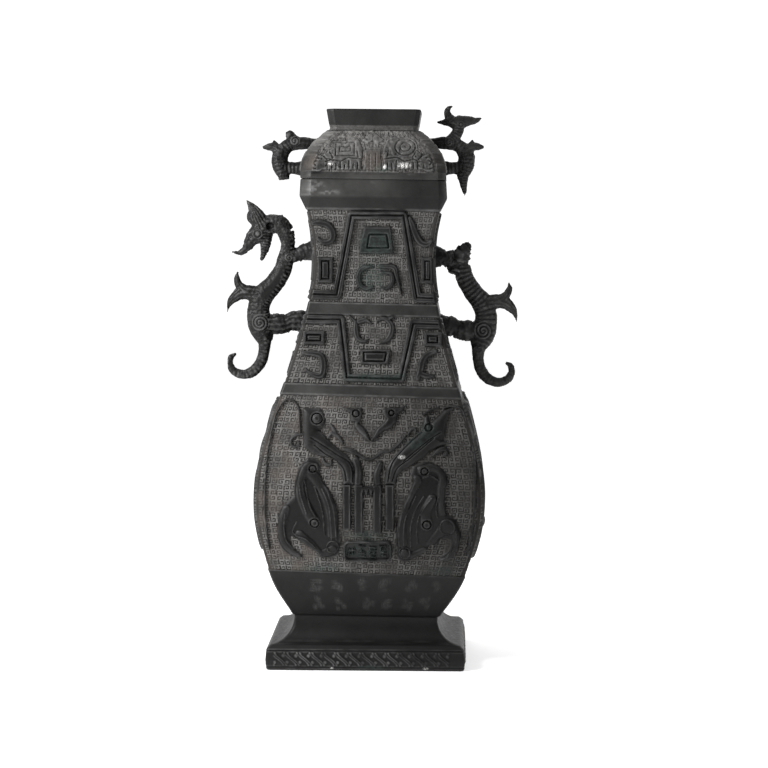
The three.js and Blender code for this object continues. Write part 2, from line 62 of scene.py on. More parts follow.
# The crooked casting drifts to the right with height, and its level lines fall to the right
DRIFT_Z = [40, 140, 300, 434]
DRIFT_X = [0, 3.3, 5.6, 5.6]
FALL_Z = [20, 76, 280, 434]
FALL_DEGREES = [0, 1.9, 1.4, 0.6]

FOOT_HALF_WIDTH = 77.6
FOOT_WALL = 5.0
FLOOR_TOP = 46.0
FLOOR_BOTTOM = 34.0

# Height and half width of the foot's ledge and of the waist over it
FOOT_LEDGE = (19.9, 73.4)
WAIST = (38.0, 56.0)

# Lowest and highest levels of the sunk registers, and of the collar's flat side
BELLY = (76.0, 213.5)
LOWER_NECK = (221.5, 275.0)
UPPER_NECK = (284.0, 356.0)
COLLAR = (366.0, 379.0)

# Bevels of the left and right corners, seen from the front
SHARP = (1.6, 1.6)
COLLAR_CORNER = (9.0, 6.0)
LID_CORNER = (8.5, 6.0)
RING_CORNER = (5.5, 3.5)
RING_INSIDE = (3, 2)
MOUTH_CORNER = (5.0, 4.0)
INSIDE = (1.0, 1.0)
CENTRE = (0.3, 0.3)

# How deep the ground lies under the plain form, and how far the designs stand over it
GROUND_DEPTH = 1.0
BELLY_RELIEF = 2.5
NECK_RELIEF = 1.75
PLAIN_SHARE = 0.84  # of the front's relief, on the neck's other faces
DESIGN_LIMIT = 1.17
LID_RELIEF = 1.1
LEIWEN_HEIGHT = 0.42

FRONT, RIGHT, BACK, LEFT = range(4)


# Small numerical tools


def lerp(a, b, t):
    return a + (b - a) * t


def smooth(t):
    t = np.clip(t, 0.0, 1.0)
    return t * t * (3.0 - 2.0 * t)


def body_half_width(z):
    """The body's half width at each height, on the CAD's cubic curve."""
    z = np.asarray(z, float)
    zs = np.array(BODY_Z, float)
    ws = np.array(BODY_W, float)
    last = len(zs) - 1
    i = np.clip(np.searchsorted(zs, z, side="left"), 1, last)
    before = np.maximum(i - 2, 0)
    after = np.minimum(i + 1, last)
    z0, w0, z1, w1 = zs[i - 1], ws[i - 1], zs[i], ws[i]
    span = z1 - z0
    slope0 = (w1 - ws[before]) / (z1 - zs[before]) * span
    slope1 = (ws[after] - w0) / (zs[after] - z0) * span
    t = (z - z0) / span
    rise = 3 * t**2 - 2 * t**3
    return w0 + (w1 - w0) * rise + slope0 * t * (1 - t) ** 2 + slope1 * t * t * (t - 1)


def settle(points):
    """Upright points moved to where the crooked casting has them."""
    x, y, z = points[..., 0], points[..., 1], points[..., 2]
    fall = np.tan(np.radians(np.interp(z, FALL_Z, FALL_DEGREES)))
    return np.stack([x + np.interp(z, DRIFT_Z, DRIFT_X), y, z - x * fall], -1)


NOISE_CELLS = 64
NOISE_SHIFT = 1000.0


def noise(x, y, scale, seed):
    """Smooth values between 0 and 1 that change over about one scale."""
    table = np.random.default_rng(seed).random((NOISE_CELLS, NOISE_CELLS))
    u = np.asarray(x) / scale + NOISE_SHIFT
    v = np.asarray(y) / scale + NOISE_SHIFT
    i, j = np.floor(u).astype(int), np.floor(v).astype(int)
    fu, fv = smooth(u - i), smooth(v - j)
    i0, j0, i1, j1 = i % NOISE_CELLS, j % NOISE_CELLS, (i + 1) % NOISE_CELLS, (j + 1) % NOISE_CELLS
    near = table[i0, j0] * (1 - fu) + table[i1, j0] * fu
    far = table[i0, j1] * (1 - fu) + table[i1, j1] * fu
    return near * (1 - fv) + far * fv


def stroke(x, z, path):
    """Signed distance to a stroke along a path of (x, z, width): negative inside."""
    best = np.full(np.shape(x), 1e3)
    for (xa, za, wa), (xb, zb, wb) in zip(path, path[1:]):
        dx, dz = xb - xa, zb - za
        t = np.clip(((x - xa) * dx + (z - za) * dz) / (dx * dx + dz * dz), 0, 1)
        gap = np.hypot(x - xa - t * dx, z - za - t * dz) - (wa + (wb - wa) * t) / 2
        best = np.minimum(best, gap)
    return best


def line(x, z, path):
    """Distance to a path of (x, z)."""
    return stroke(x, z, [(px, pz, 0.0) for px, pz in path])


def polygon(x, z, points):
    """Signed distance to a closed outline of (x, z): negative inside."""
    best = line(x, z, [*points, points[0]])
    inside = np.zeros(np.shape(x), bool)
    for (xa, za), (xb, zb) in zip(points, [*points[1:], points[0]]):
        crosses = (za > z) != (zb > z)
        if za != zb:
            inside ^= crosses & (x < (xb - xa) * (z - za) / (zb - za) + xa)
    return np.where(inside, -best, best)


def disc(x, z, centre, radius):
    return np.hypot(x - centre[0], z - centre[1]) - radius


def box(x, z, x0, z0, x1, z1):
    dx = np.abs(x - (x0 + x1) / 2) - (x1 - x0) / 2
    dz = np.abs(z - (z0 + z1) / 2) - (z1 - z0) / 2
    outside = np.hypot(np.maximum(dx, 0), np.maximum(dz, 0))
    return outside + np.minimum(np.maximum(dx, dz), 0)


def curved(points, steps=4):
    """A path made smooth through its points, on a Catmull-Rom curve."""
    p = [np.array(q, float) for q in points]
    p = [2 * p[0] - p[1], *p, 2 * p[-1] - p[-2]]
    out = []
    for a, b, c, d in zip(p, p[1:], p[2:], p[3:]):
        for k in range(steps):
            t = k / steps
            bend = (2 * a - 5 * b + 4 * c - d) * t**2
            twist = (3 * b - a - 3 * c + d) * t**3
            out.append(0.5 * (2 * b + (c - a) * t + bend + twist))
    out.append(p[-2])
    return [tuple(float(v) for v in q) for q in out]


def plateau(d, slope=0.9):
    """1 inside a shape and 0 outside it, with a rounded edge of that width."""
    return smooth(-d / slope)


def crowned(d, radius):
    """Rounded across: 0 at the edge and 1 where the shape is deeper than the radius."""
    t = np.clip(-d / radius, 0, 1)
    return np.sqrt(np.maximum(1 - (1 - t) ** 2, 0))


def groove(distance, width):
    """1 on a line and 0 at half a width from it."""
    return 1 - smooth(np.abs(distance) / (width / 2))


def engraved(d, distance, width, depth=0.7):
    """A flat raised shape with a line cut into it where the distance is 0."""
    return plateau(d) - depth * groove(distance, width) * plateau(d)


def ridges(h, x, z, paths, height, radius):
    """The field h with rounded ridges along smooth paths of (x, z, width)."""
    for path in paths:
        h = np.maximum(h, height * crowned(stroke(x, z, curved(path)), radius))
    return h


def plates(h, x, z, outlines, height, radius):
    """The field h with plates rounded at their edges."""
    for outline_points in outlines:
        h = np.maximum(h, height * crowned(polygon(x, z, outline_points), radius))
    return h


def scored(h, x, z, paths, depth, width, above):
    """The field h with smooth lines cut where it is higher than above. A negative depth raises them."""
    for path in paths:
        h = h - depth * groove(line(x, z, curved(path)), width) * (h > above)
    return h


def ringed(h, x, z, rings, depth):
    """The field h with rings of (centre, radius, width) cut where a design stands."""
    for centre, radius, width in rings:
        h = h - depth * groove(disc(x, z, centre, radius), width) * (h > 0.4)
    return h


# Relief of the neck. Paths are (x, z, width), and the names with PLAIN are the other faces' designs

NECK_FRAMES = [
    [(-60, 291.5, 8), (-22.5, 290.5, 8), (-11, 352.2, 6.6), (9.2, 352.2, 6.6), (29.2, 352.2, 6.6),
     (39.5, 288.5, 8), (66, 287.5, 8)],
    [(-66, 272, 7.5), (-19.5, 271.5, 7.5), (-14, 227.4, 6.4), (9, 226.7, 6.4), (27.6, 226.3, 6.6),
     (37, 268.5, 8), (70, 267.5, 8)],
]
NECK_PANELS = [  # and the island inside each
    ([(-6.1, 322.3), (21.8, 322.3), (19.5, 343.9), (-1.3, 343.8)],
     [(1.7, 327.7), (17.1, 327.7), (15.6, 336.9), (3.2, 336.9)]),
    ([(-3.9, 237.1), (18, 237.1), (19.9, 249.3), (-4.4, 249.3)],
     [(-0.3, 240.4), (14.4, 240.4), (15.6, 246), (-0.6, 246)]),
]
CORNER_BLOCKS = [(-37.6, 299.6, -25.2, 320.2), (42.4, 299, 53, 320.2), (-48.6, 252, -31.2, 263.2),
                 (44.9, 250.7, 59, 262.5)]
CORNER_CURLS = [
    [(-41.5, 346, 3), (-36, 346.5, 4.6), (-29, 344.5, 4.6), (-25.5, 339, 4.6), (-26.5, 333, 4.4),
     (-32, 331, 4), (-36.5, 333.5, 2.4)],
    [(34, 350, 3), (36.2, 344, 4.4), (38.6, 337.5, 4.8), (42, 331.5, 4.8), (47, 329.8, 4),
     (50.2, 332.5, 2)],
    [(-48, 246, 3), (-40, 245.5, 4), (-34, 243.5, 4.6), (-32.4, 236, 4.8), (-34, 229, 4.4),
     (-40, 229.5, 3.6), (-45.5, 233, 2)],
    [(54, 247.5, 3), (48, 245, 4.2), (44.3, 240.5, 4.8), (42.5, 233, 4.6), (40.5, 227, 3.4)],
    [(42.5, 230.5, 4), (47, 228.8, 4), (52.5, 228.4, 2.4)],
]
SCROLLS = [
    [(5, 312.4, 2.6), (-0.5, 312, 4.6), (-4.6, 309, 5.2), (-5.8, 303.6, 5.2), (-4, 298, 5.2),
     (1, 295.4, 4.4), (5.6, 297.2, 2.4)],
    [(-4, 298, 4), (-9.5, 293.8, 2)],
    [(11.5, 312.6, 4.6), (21.4, 312, 5.2), (23.6, 306, 4.6), (25.6, 298, 3.4), (27.6, 290.4, 1.8)],
    [(11.6, 308, 2.6), (19.6, 307, 4.2), (20.6, 301, 4.6), (17, 296, 4), (11.6, 296.6, 2.2)],
    [(-12.8, 274.4, 2), (-8, 270, 4), (-7.6, 264, 5.4), (-6, 257.5, 5.2), (-1, 255, 4),
     (2.6, 256.8, 2)],
    [(4.6, 268.6, 2), (0, 271.4, 4.6), (-5.4, 270, 5)],
    [(9, 270.6, 3), (14.4, 272.4, 4.4), (19.6, 268, 5.2), (19.8, 261.6, 5.4), (16.4, 256, 4.8),
     (10.8, 253.6, 2.2)],
    [(17, 271, 4), (26.4, 277.6, 1.6)],
]
PLAIN_FRAMES = [
    [(0, 352, 6.5), (19.5, 352, 6.5), (33, 289.9, 8.5), (66, 290, 8.5)],
    [(0, 226.5, 6), (21.5, 226.5, 6), (29.5, 270.1, 8.5), (70, 270, 8.5)],
]
PLAIN_PANELS = [
    [(-13.5, 322.3), (13.5, 322.3), (10, 343.8), (-10, 343.8)],
    [(-11.5, 237), (11.5, 237), (11.5, 249.3), (-11.5, 249.3)],
]
PLAIN_BLOCKS = [(42, 300, 60, 320), (42, 251.5, 62, 262.5)]
PLAIN_CURLS = [
    [(32, 347, 4), (37, 338, 5), (41, 331, 5), (47, 330, 4)],
    [(52, 245, 4), (42.5, 242, 5), (41.5, 233, 5), (39, 228, 4)],
]
BACK_SCROLLS = [
    [(9, 314.5, 3), (14, 314.5, 4.5), (18.5, 311, 4.5), (19.5, 303, 4.5), (17, 296.5, 4.5), (10, 296, 3)],
    [(8, 272, 3), (13.5, 272, 4.5), (19, 268, 4.5), (20, 262, 4.5), (16, 256, 4.5), (9, 255, 3)],
]


def framed(x, z, path, width):
    """A raised frame with a line cut down its middle."""
    centre = line(x, z, [(px, pz) for px, pz, _ in path])
    return engraved(stroke(x, z, path), centre, width, 0.62)


def neck_front(x, z):
    """Height over the ground, from 0 to 1, of the neck's raised designs on the front."""
    parts = [framed(x, z, path, 2.2) for path in NECK_FRAMES]
    for panel, island in NECK_PANELS:
        parts.append(engraved(polygon(x, z, panel), polygon(x, z, island) - 0.6, 2.2))
    for block in CORNER_BLOCKS:
        d = box(x, z, *block)
        parts.append(engraved(d, d + 3.4, 2.0))
    parts += [plateau(stroke(x, z, curved(scroll)), 1.5) for scroll in SCROLLS]
    parts += [plateau(stroke(x, z, curved(curl)) - 0.6, 1.3) for curl in CORNER_CURLS]
    return np.maximum.reduce(parts)


def neck_plain(x, z, scale):
    """The same designs in their regular form for the other faces, in upright sizes."""
    u = np.abs(x) / scale
    parts = [framed(u, z, path, 2.4) for path in PLAIN_FRAMES]
    for panel in PLAIN_PANELS:
        d = polygon(u, z, panel)
        parts.append(engraved(d, d + 3.4, 2.4))
    for block in PLAIN_BLOCKS:
        d = box(u, z, *block)
        parts.append(engraved(d, d + 3.2, 2.4))
    curls = PLAIN_CURLS + (BACK_SCROLLS if scale == 1 else [])
    parts += [plateau(stroke(u, z, curved(curl)), 1.3) for curl in curls]
    return PLAIN_SHARE * np.maximum.reduce(parts)


# Relief of the belly

ARCH_LEFT = [
    (-73.5, 96), (-76, 120), (-76, 150), (-73.5, 175), (-69.8, 194.5), (-66.1, 203.6), (-62.4, 209.5),
    (-58.8, 210.9), (-55, 210), (-52.2, 207), (-50.6, 202.5), (-50, 195.3), (-49.6, 186),
]
ARCH_RIGHT = [
    (60.4, 204.5), (65.7, 206), (72, 205), (76.1, 200), (79, 194), (81.9, 184.9), (83.7, 172.3),
    (84.5, 150), (83.5, 120), (78.5, 92),
]
HEAD_LEFT = [
    (-48.2, 204.6), (-34.4, 204.6), (-32, 201.4), (-30.6, 196.4), (-31.6, 190), (-35, 187.8),
    (-31, 185), (-26.5, 180), (-19.8, 173.9), (-13.2, 168.9), (-7.4, 161.4), (-6.6, 149.7), (-6.8, 146),
    (-16.8, 146), (-16.8, 149.6), (-18.6, 158.8), (-21.8, 164.3), (-26.4, 166.8), (-31.6, 167.8),
    (-40.3, 169.8), (-47.2, 175.3), (-48, 187.8),
]
HEAD_RIGHT = [
    (60.8, 203.8), (70.6, 206.6), (65.8, 202.4), (62.6, 193.9), (61, 184.8), (60, 180.3), (65.6, 178.3),
    (57, 175.6), (50.6, 172.3), (45.4, 167.2), (40.8, 164.3), (35.5, 160.8), (30.3, 157.9),
    (25.9, 153.7), (24.2, 149.1), (24.2, 146), (14.6, 146), (14.8, 149), (16.2, 159.5), (20, 165.7),
    (26.4, 172.6), (33.4, 179.4), (40, 185), (44.3, 188.6), (44.9, 197.9), (48.5, 200.2), (50.4, 193.7),
    (54.6, 198),
]
EYES = [((-36.6, 196.2), 4.3), ((49.1, 189.8), 3.0), ((-6.8, 200.2), 2.9), ((20.5, 200.6), 2.3)]
BROW_RIGHT = [(45.6, 200, 1.4), (50, 203, 2.2), (56.3, 204.8, 1.4)]
WING_LEFT = [
    (-18.4, 205.4), (-10, 204.2), (-2.8, 204.8), (-1.8, 201.5), (-2.4, 197), (-4, 192.8), (-0.3, 189.5),
    (2.6, 184.4), (4.5, 179.4), (0.3, 181.3), (-4.8, 186.3), (-8.4, 190.3), (-8.2, 193.5), (-11, 194.4),
    (-12, 200.5),
]
WING_RIGHT = [
    (4.5, 179.2), (5.9, 183.2), (9.3, 189.6), (14.5, 193.9), (16, 196.2), (13, 201.2), (13.5, 204.3),
    (18.4, 205.1), (26.5, 205.1), (32.6, 207.3), (29.2, 202.2), (25.6, 199.7), (24.6, 194),
    (20.5, 189.4), (14, 186.5), (9.1, 181.4),
]
SWEEP_GROOVES = [
    [(-41, 181.8), (-26.5, 172.9), (-20.3, 168.9), (-11.8, 163.9), (-9, 157.3), (-8.8, 148.7)],
    [(-38.2, 176.3), (-30, 169.9), (-22.3, 165.4), (-15.8, 158.8), (-13.8, 149.4)],
    [(-34, 187), (-27, 180), (-16.5, 171.2), (-9.5, 166)],
    [(44, 186.5), (36, 179.5), (27.5, 171), (20.8, 161.5), (18.2, 149.4)],
    [(53, 181.5), (44.5, 174.5), (34.5, 166.2), (25.2, 159), (21.4, 149.4)],
    [(58, 186), (49, 180), (39.5, 172.5), (30, 164.5)],
]
INNER_SWEEPS = [
    [(-5, 148, 6.4), (-4.6, 158, 6.4), (-6.8, 165.4, 6)],
    [(10, 148, 6), (9.6, 155, 5.8), (12.2, 162.5, 5)],
]
BARS = [
    (-16.2, 111.6, -10.8, 147), (-7.2, 108.6, -1.6, 147), (7, 108.6, 12.6, 147),
    (16.6, 111.4, 22.4, 147),
]
TEETH = (-4, 138.4, 14, 146)
TEETH_PITCH = 3.7
TEETH_LENGTH = 5.4
LOBES = [
    [(-28.1, 182.2, 2.4), (-25.8, 185.2, 3), (-22.5, 184.4, 3.6), (-18.9, 181.4, 3.2), (-17, 177.9, 2)],
    [(-26.4, 192.4, 1.6), (-23.8, 187.9, 3.4), (-21.6, 183.8, 2.8)],
    [(-15.7, 173.4, 3), (-9.6, 172, 4), (-5, 169.6, 3.4), (-0.3, 166.8, 2.8), (4.3, 165.8, 2.6),
     (8.8, 168, 2.8), (13.6, 171.6, 3), (18.6, 171.6, 2.6)],
    [(18.6, 171.6, 2.6), (22.6, 174.4, 2.8), (27, 178.6, 2.6), (31.4, 183.6, 2)],
    [(33.4, 184.4, 2.2), (35.6, 188.6, 3), (38.6, 189, 2.2), (39, 186.4, 1.4)],
    [(51.7, 168.2, 2.2), (56.3, 172.4, 3.8), (61, 173.8, 4), (63, 171, 3), (60, 168.6, 2)],
    [(-48.1, 184.8, 2.4), (-52.7, 184, 2.6), (-56.2, 181, 2.6), (-56.2, 177.3, 2.6),
     (-53.4, 175.2, 2.4), (-50.4, 176.6, 2), (-51, 179.6, 1.6)],
    [(-32, 166, 2.2), (-29.8, 162.4, 3.2), (-26, 161.8, 3), (-25.4, 165, 2)],
]
BIRD_LEFT = [
    (-44.1, 167.2), (-39.5, 167.9), (-35.6, 166.3), (-33, 162.5), (-34, 157.2), (-32, 149.8),
    (-27.4, 143.4), (-24.2, 136.8), (-21.3, 130.2), (-19.8, 122.4), (-19.6, 113), (-18, 103.4),
    (-19, 95.9), (-20.6, 90.4), (-28.3, 88.6), (-35.4, 89.4), (-36.6, 93), (-46.6, 99.8), (-53, 104.6),
    (-56.6, 106.2), (-56.9, 101), (-53.9, 95.7), (-49.9, 92.6), (-46.4, 89.3), (-52.5, 89), (-58, 91),
    (-63.5, 95), (-66.6, 101), (-67.3, 111.7), (-66.2, 122.1), (-64.4, 128.8), (-59.6, 132.6),
    (-54, 138.8), (-54.4, 142.9), (-53.2, 151.5), (-50.4, 160.7),
]
BIRD_RIGHT = [
    (36.4, 161.1), (41.3, 163.1), (44.2, 164.2), (50.7, 163.7), (57.3, 160.8), (62.7, 155.2), (64, 149),
    (62.3, 144.4), (61.6, 133.8), (62.8, 125), (67.1, 122.4), (71.6, 118), (74.2, 107.7), (72.4, 97.6),
    (66.8, 89), (61.8, 86.4), (55.8, 86.9), (60, 92.6), (63.4, 94.4), (66, 100.2), (64.6, 104.5),
    (58.6, 104.8), (55.7, 99.3), (49.8, 100.1), (47.8, 95.7), (42, 91), (34.4, 86.6), (28.5, 85.9),
    (24.8, 89.6), (24, 98), (24.2, 113.5), (27.1, 124.2), (30, 131.9), (33.5, 139), (35, 143.6),
    (37.4, 148.9), (35.2, 155),
]
BIRD_LINES = [
    [(-45.7, 150), (-44.6, 143), (-43.2, 136.3), (-41.3, 129.5), (-37.6, 122.8)],
    [(-50, 147), (-48.6, 138), (-46.2, 130), (-44.4, 124)],
    [(-38, 145), (-33.6, 132), (-31.5, 121.3), (-30.5, 108)],
    [(-32.4, 143.5), (-27.6, 132), (-25.8, 119.2), (-25.2, 104)],
    [(-27.5, 140), (-23.6, 129), (-22.2, 117), (-21.6, 104)],
    [(-60.8, 124), (-61.6, 114), (-60, 104), (-55, 97)],
    [(-52, 118), (-55, 111), (-52.5, 107.4), (-45, 104.8), (-38, 98.5)],
    [(30.5, 100), (30.2, 110), (31.5, 120.6), (36.2, 131), (39.5, 138)],
    [(35.6, 98), (35.2, 109), (36.4, 119), (40, 128.6), (45.7, 138)],
    [(40.9, 102), (40.2, 110), (41.2, 120), (45.3, 128.5), (51.8, 137)],
    [(26.8, 98), (26.6, 111), (28.4, 123), (32, 132)],
    [(56.5, 137), (55, 129), (56, 122)],
    [(70.4, 112), (70.6, 104), (67.6, 96), (63, 90.6)],
    [(45, 152), (51, 153.5), (56.5, 150.5)],
]
BIRD_SWELLS = [
    [(-44, 157, 6), (-36, 150, 8.5), (-28.5, 138.5, 10), (-24.6, 124, 9.5), (-24.6, 109, 8)],
    [(-38, 160, 6), (-44, 160, 7), (-48.5, 150, 6), (-49, 140, 7), (-44, 128, 9), (-38, 117.5, 9)],
    [(-60, 128, 6), (-63.5, 116, 7), (-62.5, 104, 6), (-56, 94.5, 5), (-49, 90.5, 3)],
    [(-50, 108, 7), (-41, 100, 7), (-34, 93, 6), (-24.5, 96, 7)],
    [(44, 158, 7), (52, 160, 6), (60, 154.5, 6), (59.2, 140, 7), (60, 126, 6)],
    [(40, 150, 8), (35, 142, 9), (30, 131, 9.5), (27.6, 117, 9), (29, 102, 8)],
    [(52, 136, 7), (47, 126, 8), (47.9, 116, 9)],
    [(50, 101, 5), (57, 109, 7), (63.5, 114.5, 11)],
    [(66, 116, 8), (70.6, 107, 6), (70.6, 98.5, 6), (65.5, 90.5, 4), (58, 87.5, 2)],
    [(46, 96, 5), (37, 92, 6), (31, 93, 8)],
]
BIRD_CURLS = [((-24.5, 98.5), 4.4, 1.2), ((63.6, 114.6), 5.6, 1.2), ((30.8, 94.2), 4.2, 1.2)]
BIRD_RINGS = [((-38.3, 117.2), 3.2, 1.4), ((-39.5, 158.6), 2.6, 1.2), ((47.9, 116.4), 3.1, 1.4),
              ((46, 156.8), 2.6, 1.2)]
BOSSES = [((-37.4, 117.4), 2.6), ((47.9, 116.2), 2.6)]
CARTOUCHE = (-16.6, 86.2, 21.2, 103.6)
CARTOUCHE_CELLS = 4
CARTOUCHE_STROKES = 9
PLAIN_ARCH = [(50, 186), (50.4, 198), (53, 206), (59, 209.5), (64, 207.5), (68.5, 198), (74, 178),
              (77.5, 150), (77.5, 120), (73, 92)]
PLAIN_SWEEP = [(12, 146, 13.5), (12.4, 154, 14), (18, 165, 13), (31.5, 176, 12), (41.5, 186.5, 15),
               (43, 196, 15)]
PLAIN_SNOUT = [(41, 190, 14), (50, 191, 15), (58, 197, 9), (66, 206.5, 2)]
PLAIN_WING = [(-1, 183.5), (-1, 179.5), (7, 186.5), (13, 191), (19, 197.5), (26, 206.5), (11, 204.5),
              (8, 201), (11.5, 196.5), (6.5, 190)]
PLAIN_BARS = [(4, 108.3, 10, 147), (13.2, 111.5, 19.2, 147)]
PLAIN_TEETH = (0, 138.4, 20, 147.6)
PLAIN_BIRD = [
    (34, 158), (40, 166), (48, 165), (55, 157), (60, 144), (58.5, 132), (66, 122), (69.5, 108), (66, 95),
    (57, 88.5), (50, 90), (58, 97), (58, 104), (50, 102.5), (42, 96), (32, 87), (20.5, 88.5), (19.8, 106),
    (22.5, 126), (29.5, 139.5), (35, 147),
]
PLAIN_BIRD_LINES = [
    [(24.5, 100), (27, 121), (36, 140)],
    [(30, 99), (32, 119), (42, 140)],
    [(36, 101), (38, 117), (48, 137)],
    [(64, 112), (63, 101), (57, 93)],
]
PLAIN_RINGS = [((40.5, 116.5), 6.2, 1.5), ((45, 159), 3.6, 1.5), ((27, 93.5), 3.6, 1.5),
               ((46, 195), 3, 1.5), ((13, 201.5), 3, 1.5)]
PLAIN_SADDLE = [(0, 165.5, 3.6), (9, 167, 3.4), (20, 172, 3)]


def bars_and_teeth(x, z, bars, teeth):
    """The flat columns under the sweeps, and the row of teeth that hangs across the inner ones."""
    h = np.zeros(np.shape(x))
    for x0, z0, x1, z1 in bars:
        h = np.maximum(h, plateau(box(x, z, x0 - 0.9, z0, x1 + 0.9, z1), 1.0))
    x0, z0, _, _ = teeth
    saw = np.abs((x - x0) / TEETH_PITCH % 1 - 0.5) * 2
    cut = plateau((z - z0) - TEETH_LENGTH * saw, 1.0)
    return np.maximum(h, plateau(box(x, z, *teeth), 1.2) * (0.95 - 0.5 * cut))


def cartouche(x, z, x0, z0, x1, z1):
    """A rounded panel with cells of short strokes that spell nothing."""
    d = box(x, z, x0 + 5, z0 + 5, x1 - 5, z1 - 5) - 5
    h = plateau(d) - 0.75 * plateau(d + 1.6, 0.8)
    pitch = (x1 - x0 - 6) / CARTOUCHE_CELLS
    cz = (z0 + z1) / 2
    rng = np.random.default_rng(11)
    for k in range(CARTOUCHE_CELLS):
        cx = x0 + 3 + (k + 0.5) * pitch
        for _ in range(CARTOUCHE_STROKES):
            ax, az = rng.uniform(-0.36, 0.36) * pitch, rng.uniform(-4.8, 4.8)
            level = rng.random() < 0.5
            px, pz = (cx, cz + az) if level else (cx + ax, cz + az / 2)
            half_x, half_z = (0.38 * pitch, 0.55) if level else (0.55, 2.6)
            bar = box(x, z, px - half_x, pz - half_z, px + half_x, pz + half_z)
            h = np.maximum(h, 0.72 * plateau(bar, 0.5))
    return h


def arch(x, z, path, width, slope):
    """The thin raised line that frames a half of the belly."""
    return 0.75 * plateau(stroke(x, z, [(px, pz, width) for px, pz in curved(path)]), slope)


def belly_front(x, z):
    """Height over the ground, from 0 to about 1, of the belly's designs on the front."""
    h = np.maximum(arch(x, z, ARCH_LEFT, 2.2, 1.1), arch(x, z, ARCH_RIGHT, 2.4, 1.1))
    h = plates(h, x, z, (HEAD_LEFT, HEAD_RIGHT), 1.0, 6.5)
    h = scored(h, x, z, SWEEP_GROOVES, 0.3, 1.2, 0.5)
    h = plates(h, x, z, (WING_LEFT, WING_RIGHT), 0.95, 2.6)
    h = ridges(h, x, z, INNER_SWEEPS, 1.0, 2.4)
    h = np.maximum(h, bars_and_teeth(x, z, BARS, TEETH))
    h = ridges(h, x, z, LOBES, 0.7, 1.7)
    h = plates(h, x, z, (BIRD_LEFT, BIRD_RIGHT), 0.6, 3.5)
    h += 0.45 * ridges(np.zeros(h.shape), x, z, BIRD_SWELLS, 1.0, 4.2) * (h > 0.3)
    h = scored(h, x, z, BIRD_LINES, -0.28, 1.2, 0.4)
    h = ringed(h, x, z, BIRD_CURLS, -0.28)
    h = ringed(h, x, z, BIRD_RINGS, 0.5)
    for centre, radius in BOSSES:
        h += 0.75 * crowned(disc(x, z, centre, radius), radius)
    for centre, radius in EYES:
        d = disc(x, z, centre, radius)
        h += 0.4 * crowned(d + radius * 0.45, radius * 0.6) - 0.5 * groove(d + 0.3, 1.4)
    h = np.maximum(h, 0.9 * crowned(stroke(x, z, BROW_RIGHT), 1.0))
    return np.maximum(h, cartouche(x, z, *CARTOUCHE))


def belly_plain(x, z, scale):
    """The belly's designs in regular form for the other faces, mirrored about their middle."""
    u = np.abs(x) / scale
    h = arch(u, z, PLAIN_ARCH, 2.6, 1.2)
    h = ridges(h, u, z, (PLAIN_SWEEP, PLAIN_SNOUT), 1.0, 3.2)
    grooves = [[(px - shift * 0.7, pz + shift * 0.7) for px, pz, _ in PLAIN_SWEEP] for shift in (-3.6, 0.4)]
    h = scored(h, u, z, grooves, 0.65, 1.8, 0.5)
    h = plates(h, u, z, [PLAIN_WING], 0.95, 2.6)
    h = np.maximum(h, bars_and_teeth(u, z, PLAIN_BARS, PLAIN_TEETH))
    h = plates(h, u, z, [PLAIN_BIRD], 1.0, 3.2)
    h = scored(h, u, z, PLAIN_BIRD_LINES, 0.65, 1.8, 0.4)
    h = ringed(h, u, z, PLAIN_RINGS, 0.5)
    return np.maximum(h, 0.7 * crowned(stroke(u, z, PLAIN_SADDLE), 1.7))


# Plain band with rows of strokes, and the foot's rope

INSCRIPTION_ROWS = [(66.6, [-38, -22.5, -3, 15.5, 36, 55]), (51, [-36, -19, 2.5, 17, 32, 47])]
INSCRIPTION_STROKES = 8
ROPE = (3.6, 14.6)
ROPE_PITCH = 9.8
ROPE_SWING = 4.6
ROPE_SHIFT = 3.0  # on the front
STRAND_HALF_WIDTH = 2.3
PELLET_PLACE = (3.5, 2.6)
PELLET_RADIUS = 1.5


def inscription(x, z):
    """Depth from 0 to 1 of two rows of shallow cut strokes that spell nothing."""
    rng = np.random.default_rng(5)
    cut = np.zeros(np.shape(x))
    for row, places in INSCRIPTION_ROWS:
        for cx in places:
            for _ in range(INSCRIPTION_STROKES):
                ax, az = rng.uniform(-3.6, 3.6), rng.uniform(-4.2, 4.2)
                angle = rng.choice([0, 0.5, 0.5, 0.35, 0.62]) * math.pi
                length = rng.uniform(1.6, 3.4)
                dx, dz = length * math.cos(angle), length * math.sin(angle)
                path = [(cx + ax - dx / 2, row + az - dz / 2), (cx + ax + dx / 2, row + az + dz / 2)]
                cut = np.maximum(cut, groove(line(x, z, path), 1.3))
    return cut


def rope(x, z, half_width):
    """Height of the foot band's row of interlocked slanted strands and pellets."""
    z0, z1 = ROPE
    middle = (z0 + z1) / 2
    height = (z1 - z0) / 2
    u = (x % ROPE_PITCH) - ROPE_PITCH / 2
    v = (z - middle) / height
    h = np.zeros(np.shape(x))
    for shift in (-ROPE_PITCH, 0, ROPE_PITCH):
        centre = shift - ROPE_SWING * np.sin(v * math.pi / 2)
        d = np.abs(u - centre) - STRAND_HALF_WIDTH
        h = np.maximum(h, plateau(d, 1.0) - 0.85 * groove(u - centre, 1.6))
        for side in (-1, 1):
            place = (shift + side * PELLET_PLACE[0], middle + side * PELLET_PLACE[1])
            h = np.maximum(h, crowned(disc(u, z, place, PELLET_RADIUS), 1.3))
    h *= plateau(np.abs(z - middle) - height, 0.6) * plateau(np.abs(x) - half_width + 7, 2)
    edge = groove(z - (z0 - 1.0), 1.2) + groove(z - (z1 + 0.9), 1.2)
    return h - 0.8 * edge


# Relief of the lid

